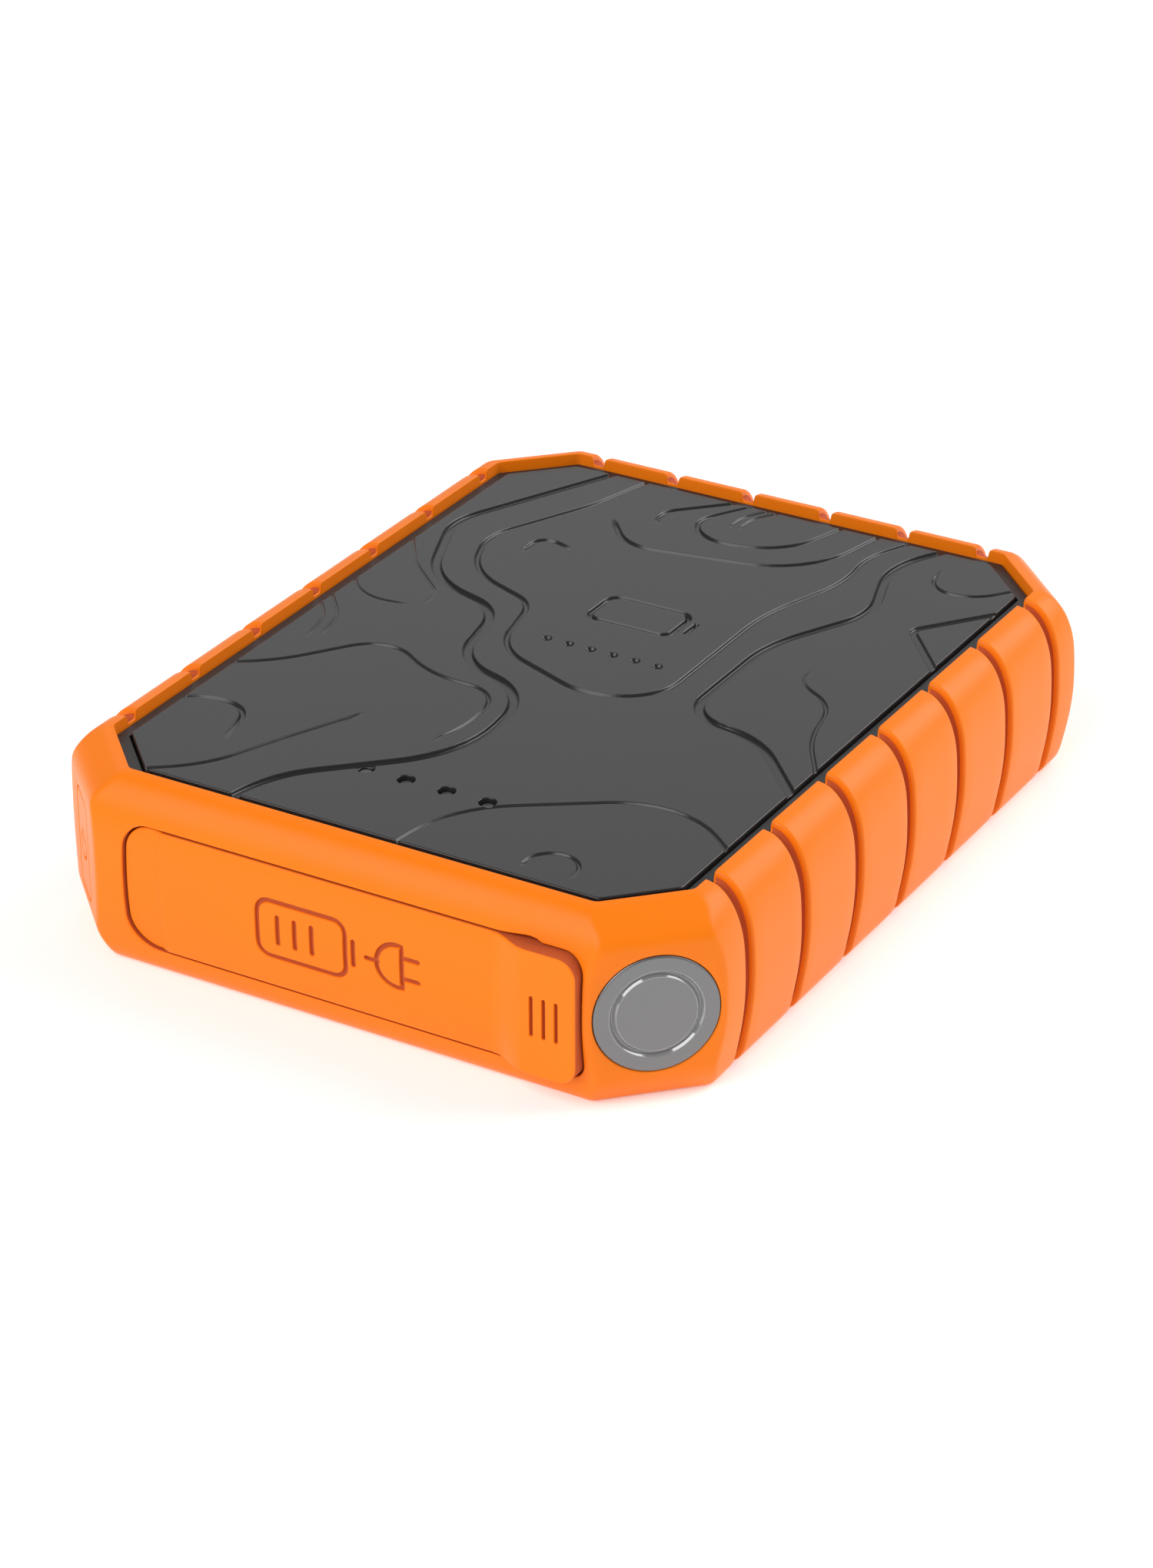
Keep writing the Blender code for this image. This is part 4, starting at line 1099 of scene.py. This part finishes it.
for number in range(1, 5):
    LOOKS[f"charge_led_{number}"] = (CHIP, 0.08)
    LOOKS[f"case_screw_{number}"] = (SCREW, 0.15)
for number in (1, 2):
    LOOKS[f"board_screw_{number}"] = (SCREW, 0.15)
    LOOKS[f"usb_a_shell_{number}"] = (STEEL, 0.1)
    LOOKS[f"usb_a_tongue_{number}"] = (PORT_WHITE, 0.12)
    LOOKS[f"capacitor_{number}"] = (CAN, 0.15)
for cell in ("lower", "upper"):
    for pole in ("positive", "negative"):
        LOOKS[f"{cell}_cell_{pole}_tab"] = (NICKEL, 0.05)

for name, (look, width) in LOOKS.items():
    node = nodes[name]
    node.data.materials.clear()
    node.data.materials.append(look)
    if width:
        bevel(node, width)


def make_contact(name, outline, low, high):
    rows = [[(x, y, z) for x, y in outline] for z in (low, high)]
    dress(skin(name, rows, around=True), GOLD)


def make_contacts():
    """Gold contacts on the tongues of the ports."""
    z = BOARD_TOP + 3.2
    places = [x + (i - 1.5) * 2.2 for x in USB_A_PLACES for i in range(4)]
    for number, x in enumerate(places, 1):
        outline = rounded(1.1, 6.4, 0.2, 3, (x, -52.6))
        make_contact(f"usb_a_contact_{number}", outline, z - 0.12, z + 0.02)
    places = [((i - 2.5) * 0.95, side * 0.35) for side in (1, -1) for i in range(6)]
    for number, (across, up) in enumerate(places, 1):
        outline = rounded(0.5, 3.6, 0.1, 3, (USB_C_PLACE + across, -54.4))
        z = BOARD_TOP + 1.65 + up
        make_contact(f"usb_c_contact_{number}", outline, z - 0.05, z + 0.05)


make_contacts()


# -------------------- floor, light and camera

FLOOR_REACH = 3000
FLOOR_GLOW, WORLD_GLOW = 0.28, 0.27
LAMP_DISTANCE = 1.5              # metres
LAMPS = [                        # name, azimuth and elevation, size in metres, brightness
    ("left", -108, 40, (1.4, 1.2), 3.5),
    ("right", 48, 36, (1.2, 1.2), 4.0),
    ("behind", 120, 28, (1.8, 1.0), 0.55),
]


def make_studio():
    floor = skin("floor", [[(x, y, 0) for x in (-FLOOR_REACH, FLOOR_REACH)]
                           for y in (-FLOOR_REACH, FLOOR_REACH)])
    floor.location.z = -0.0001
    look = material("floor_white", (0.93, 0.93, 0.93), 0.7, Specular_IOR_Level=0.1,
                    Emission_Color=(1, 1, 1, 1), Emission_Strength=FLOOR_GLOW)
    floor.data.materials.append(look)
    world = bpy.data.worlds.new("studio")
    world.use_nodes = True
    set_inputs(world.node_tree.nodes["Background"], Color=(1, 1, 1, 1), Strength=WORLD_GLOW)
    bpy.context.scene.world = world
    for name, turn, rise, size, glow in LAMPS:
        turn, rise = math.radians(turn), math.radians(rise)
        flat = LAMP_DISTANCE * math.cos(rise)
        place = (flat * math.cos(turn), flat * math.sin(turn), LAMP_DISTANCE * math.sin(rise))
        light = bpy.data.lights.new(name, "AREA")
        light.shape = "RECTANGLE"
        light.size, light.size_y = size
        light.energy = glow * math.pi * size[0] * size[1]
        lamp = bpy.data.objects.new(name, light)
        lamp.location = place
        aim = Vector((0, 0, 0.01)) - Vector(place)
        lamp.rotation_euler = aim.to_track_quat("-Z", "Y").to_euler()
        bpy.context.scene.collection.objects.link(lamp)


CAMERA_AZIMUTH, CAMERA_ELEVATION, CAMERA_ROLL = 30.4, 28.16, -0.14   # degrees
CAMERA_OFFSET = (-1.4, -17.6, 611.0)     # across, up and back from the middle of the rim
CAMERA_LENS = 102.75


def make_camera():
    azimuth, lean, roll = (math.radians(a) for a in
                           (CAMERA_AZIMUTH, 90 - CAMERA_ELEVATION, CAMERA_ROLL))
    turn = Matrix.Rotation(azimuth, 4, "Z") @ Matrix.Rotation(lean, 4, "X")
    turn = turn @ Matrix.Rotation(roll, 4, "Z")
    place = turn @ Vector(CAMERA_OFFSET) + Vector((0, 0, HEIGHT))
    data = bpy.data.cameras.new("camera")
    data.sensor_fit = "VERTICAL"
    data.sensor_height = 36.0
    data.lens = CAMERA_LENS
    data.clip_start = 0.01
    data.clip_end = 20.0
    camera = bpy.data.objects.new("camera", data)
    camera.matrix_world = Matrix.Translation(place * MM) @ turn
    bpy.context.scene.collection.objects.link(camera)
    bpy.context.scene.camera = camera


make_studio()
make_camera()
bpy.context.scene.view_settings.view_transform = "Standard"
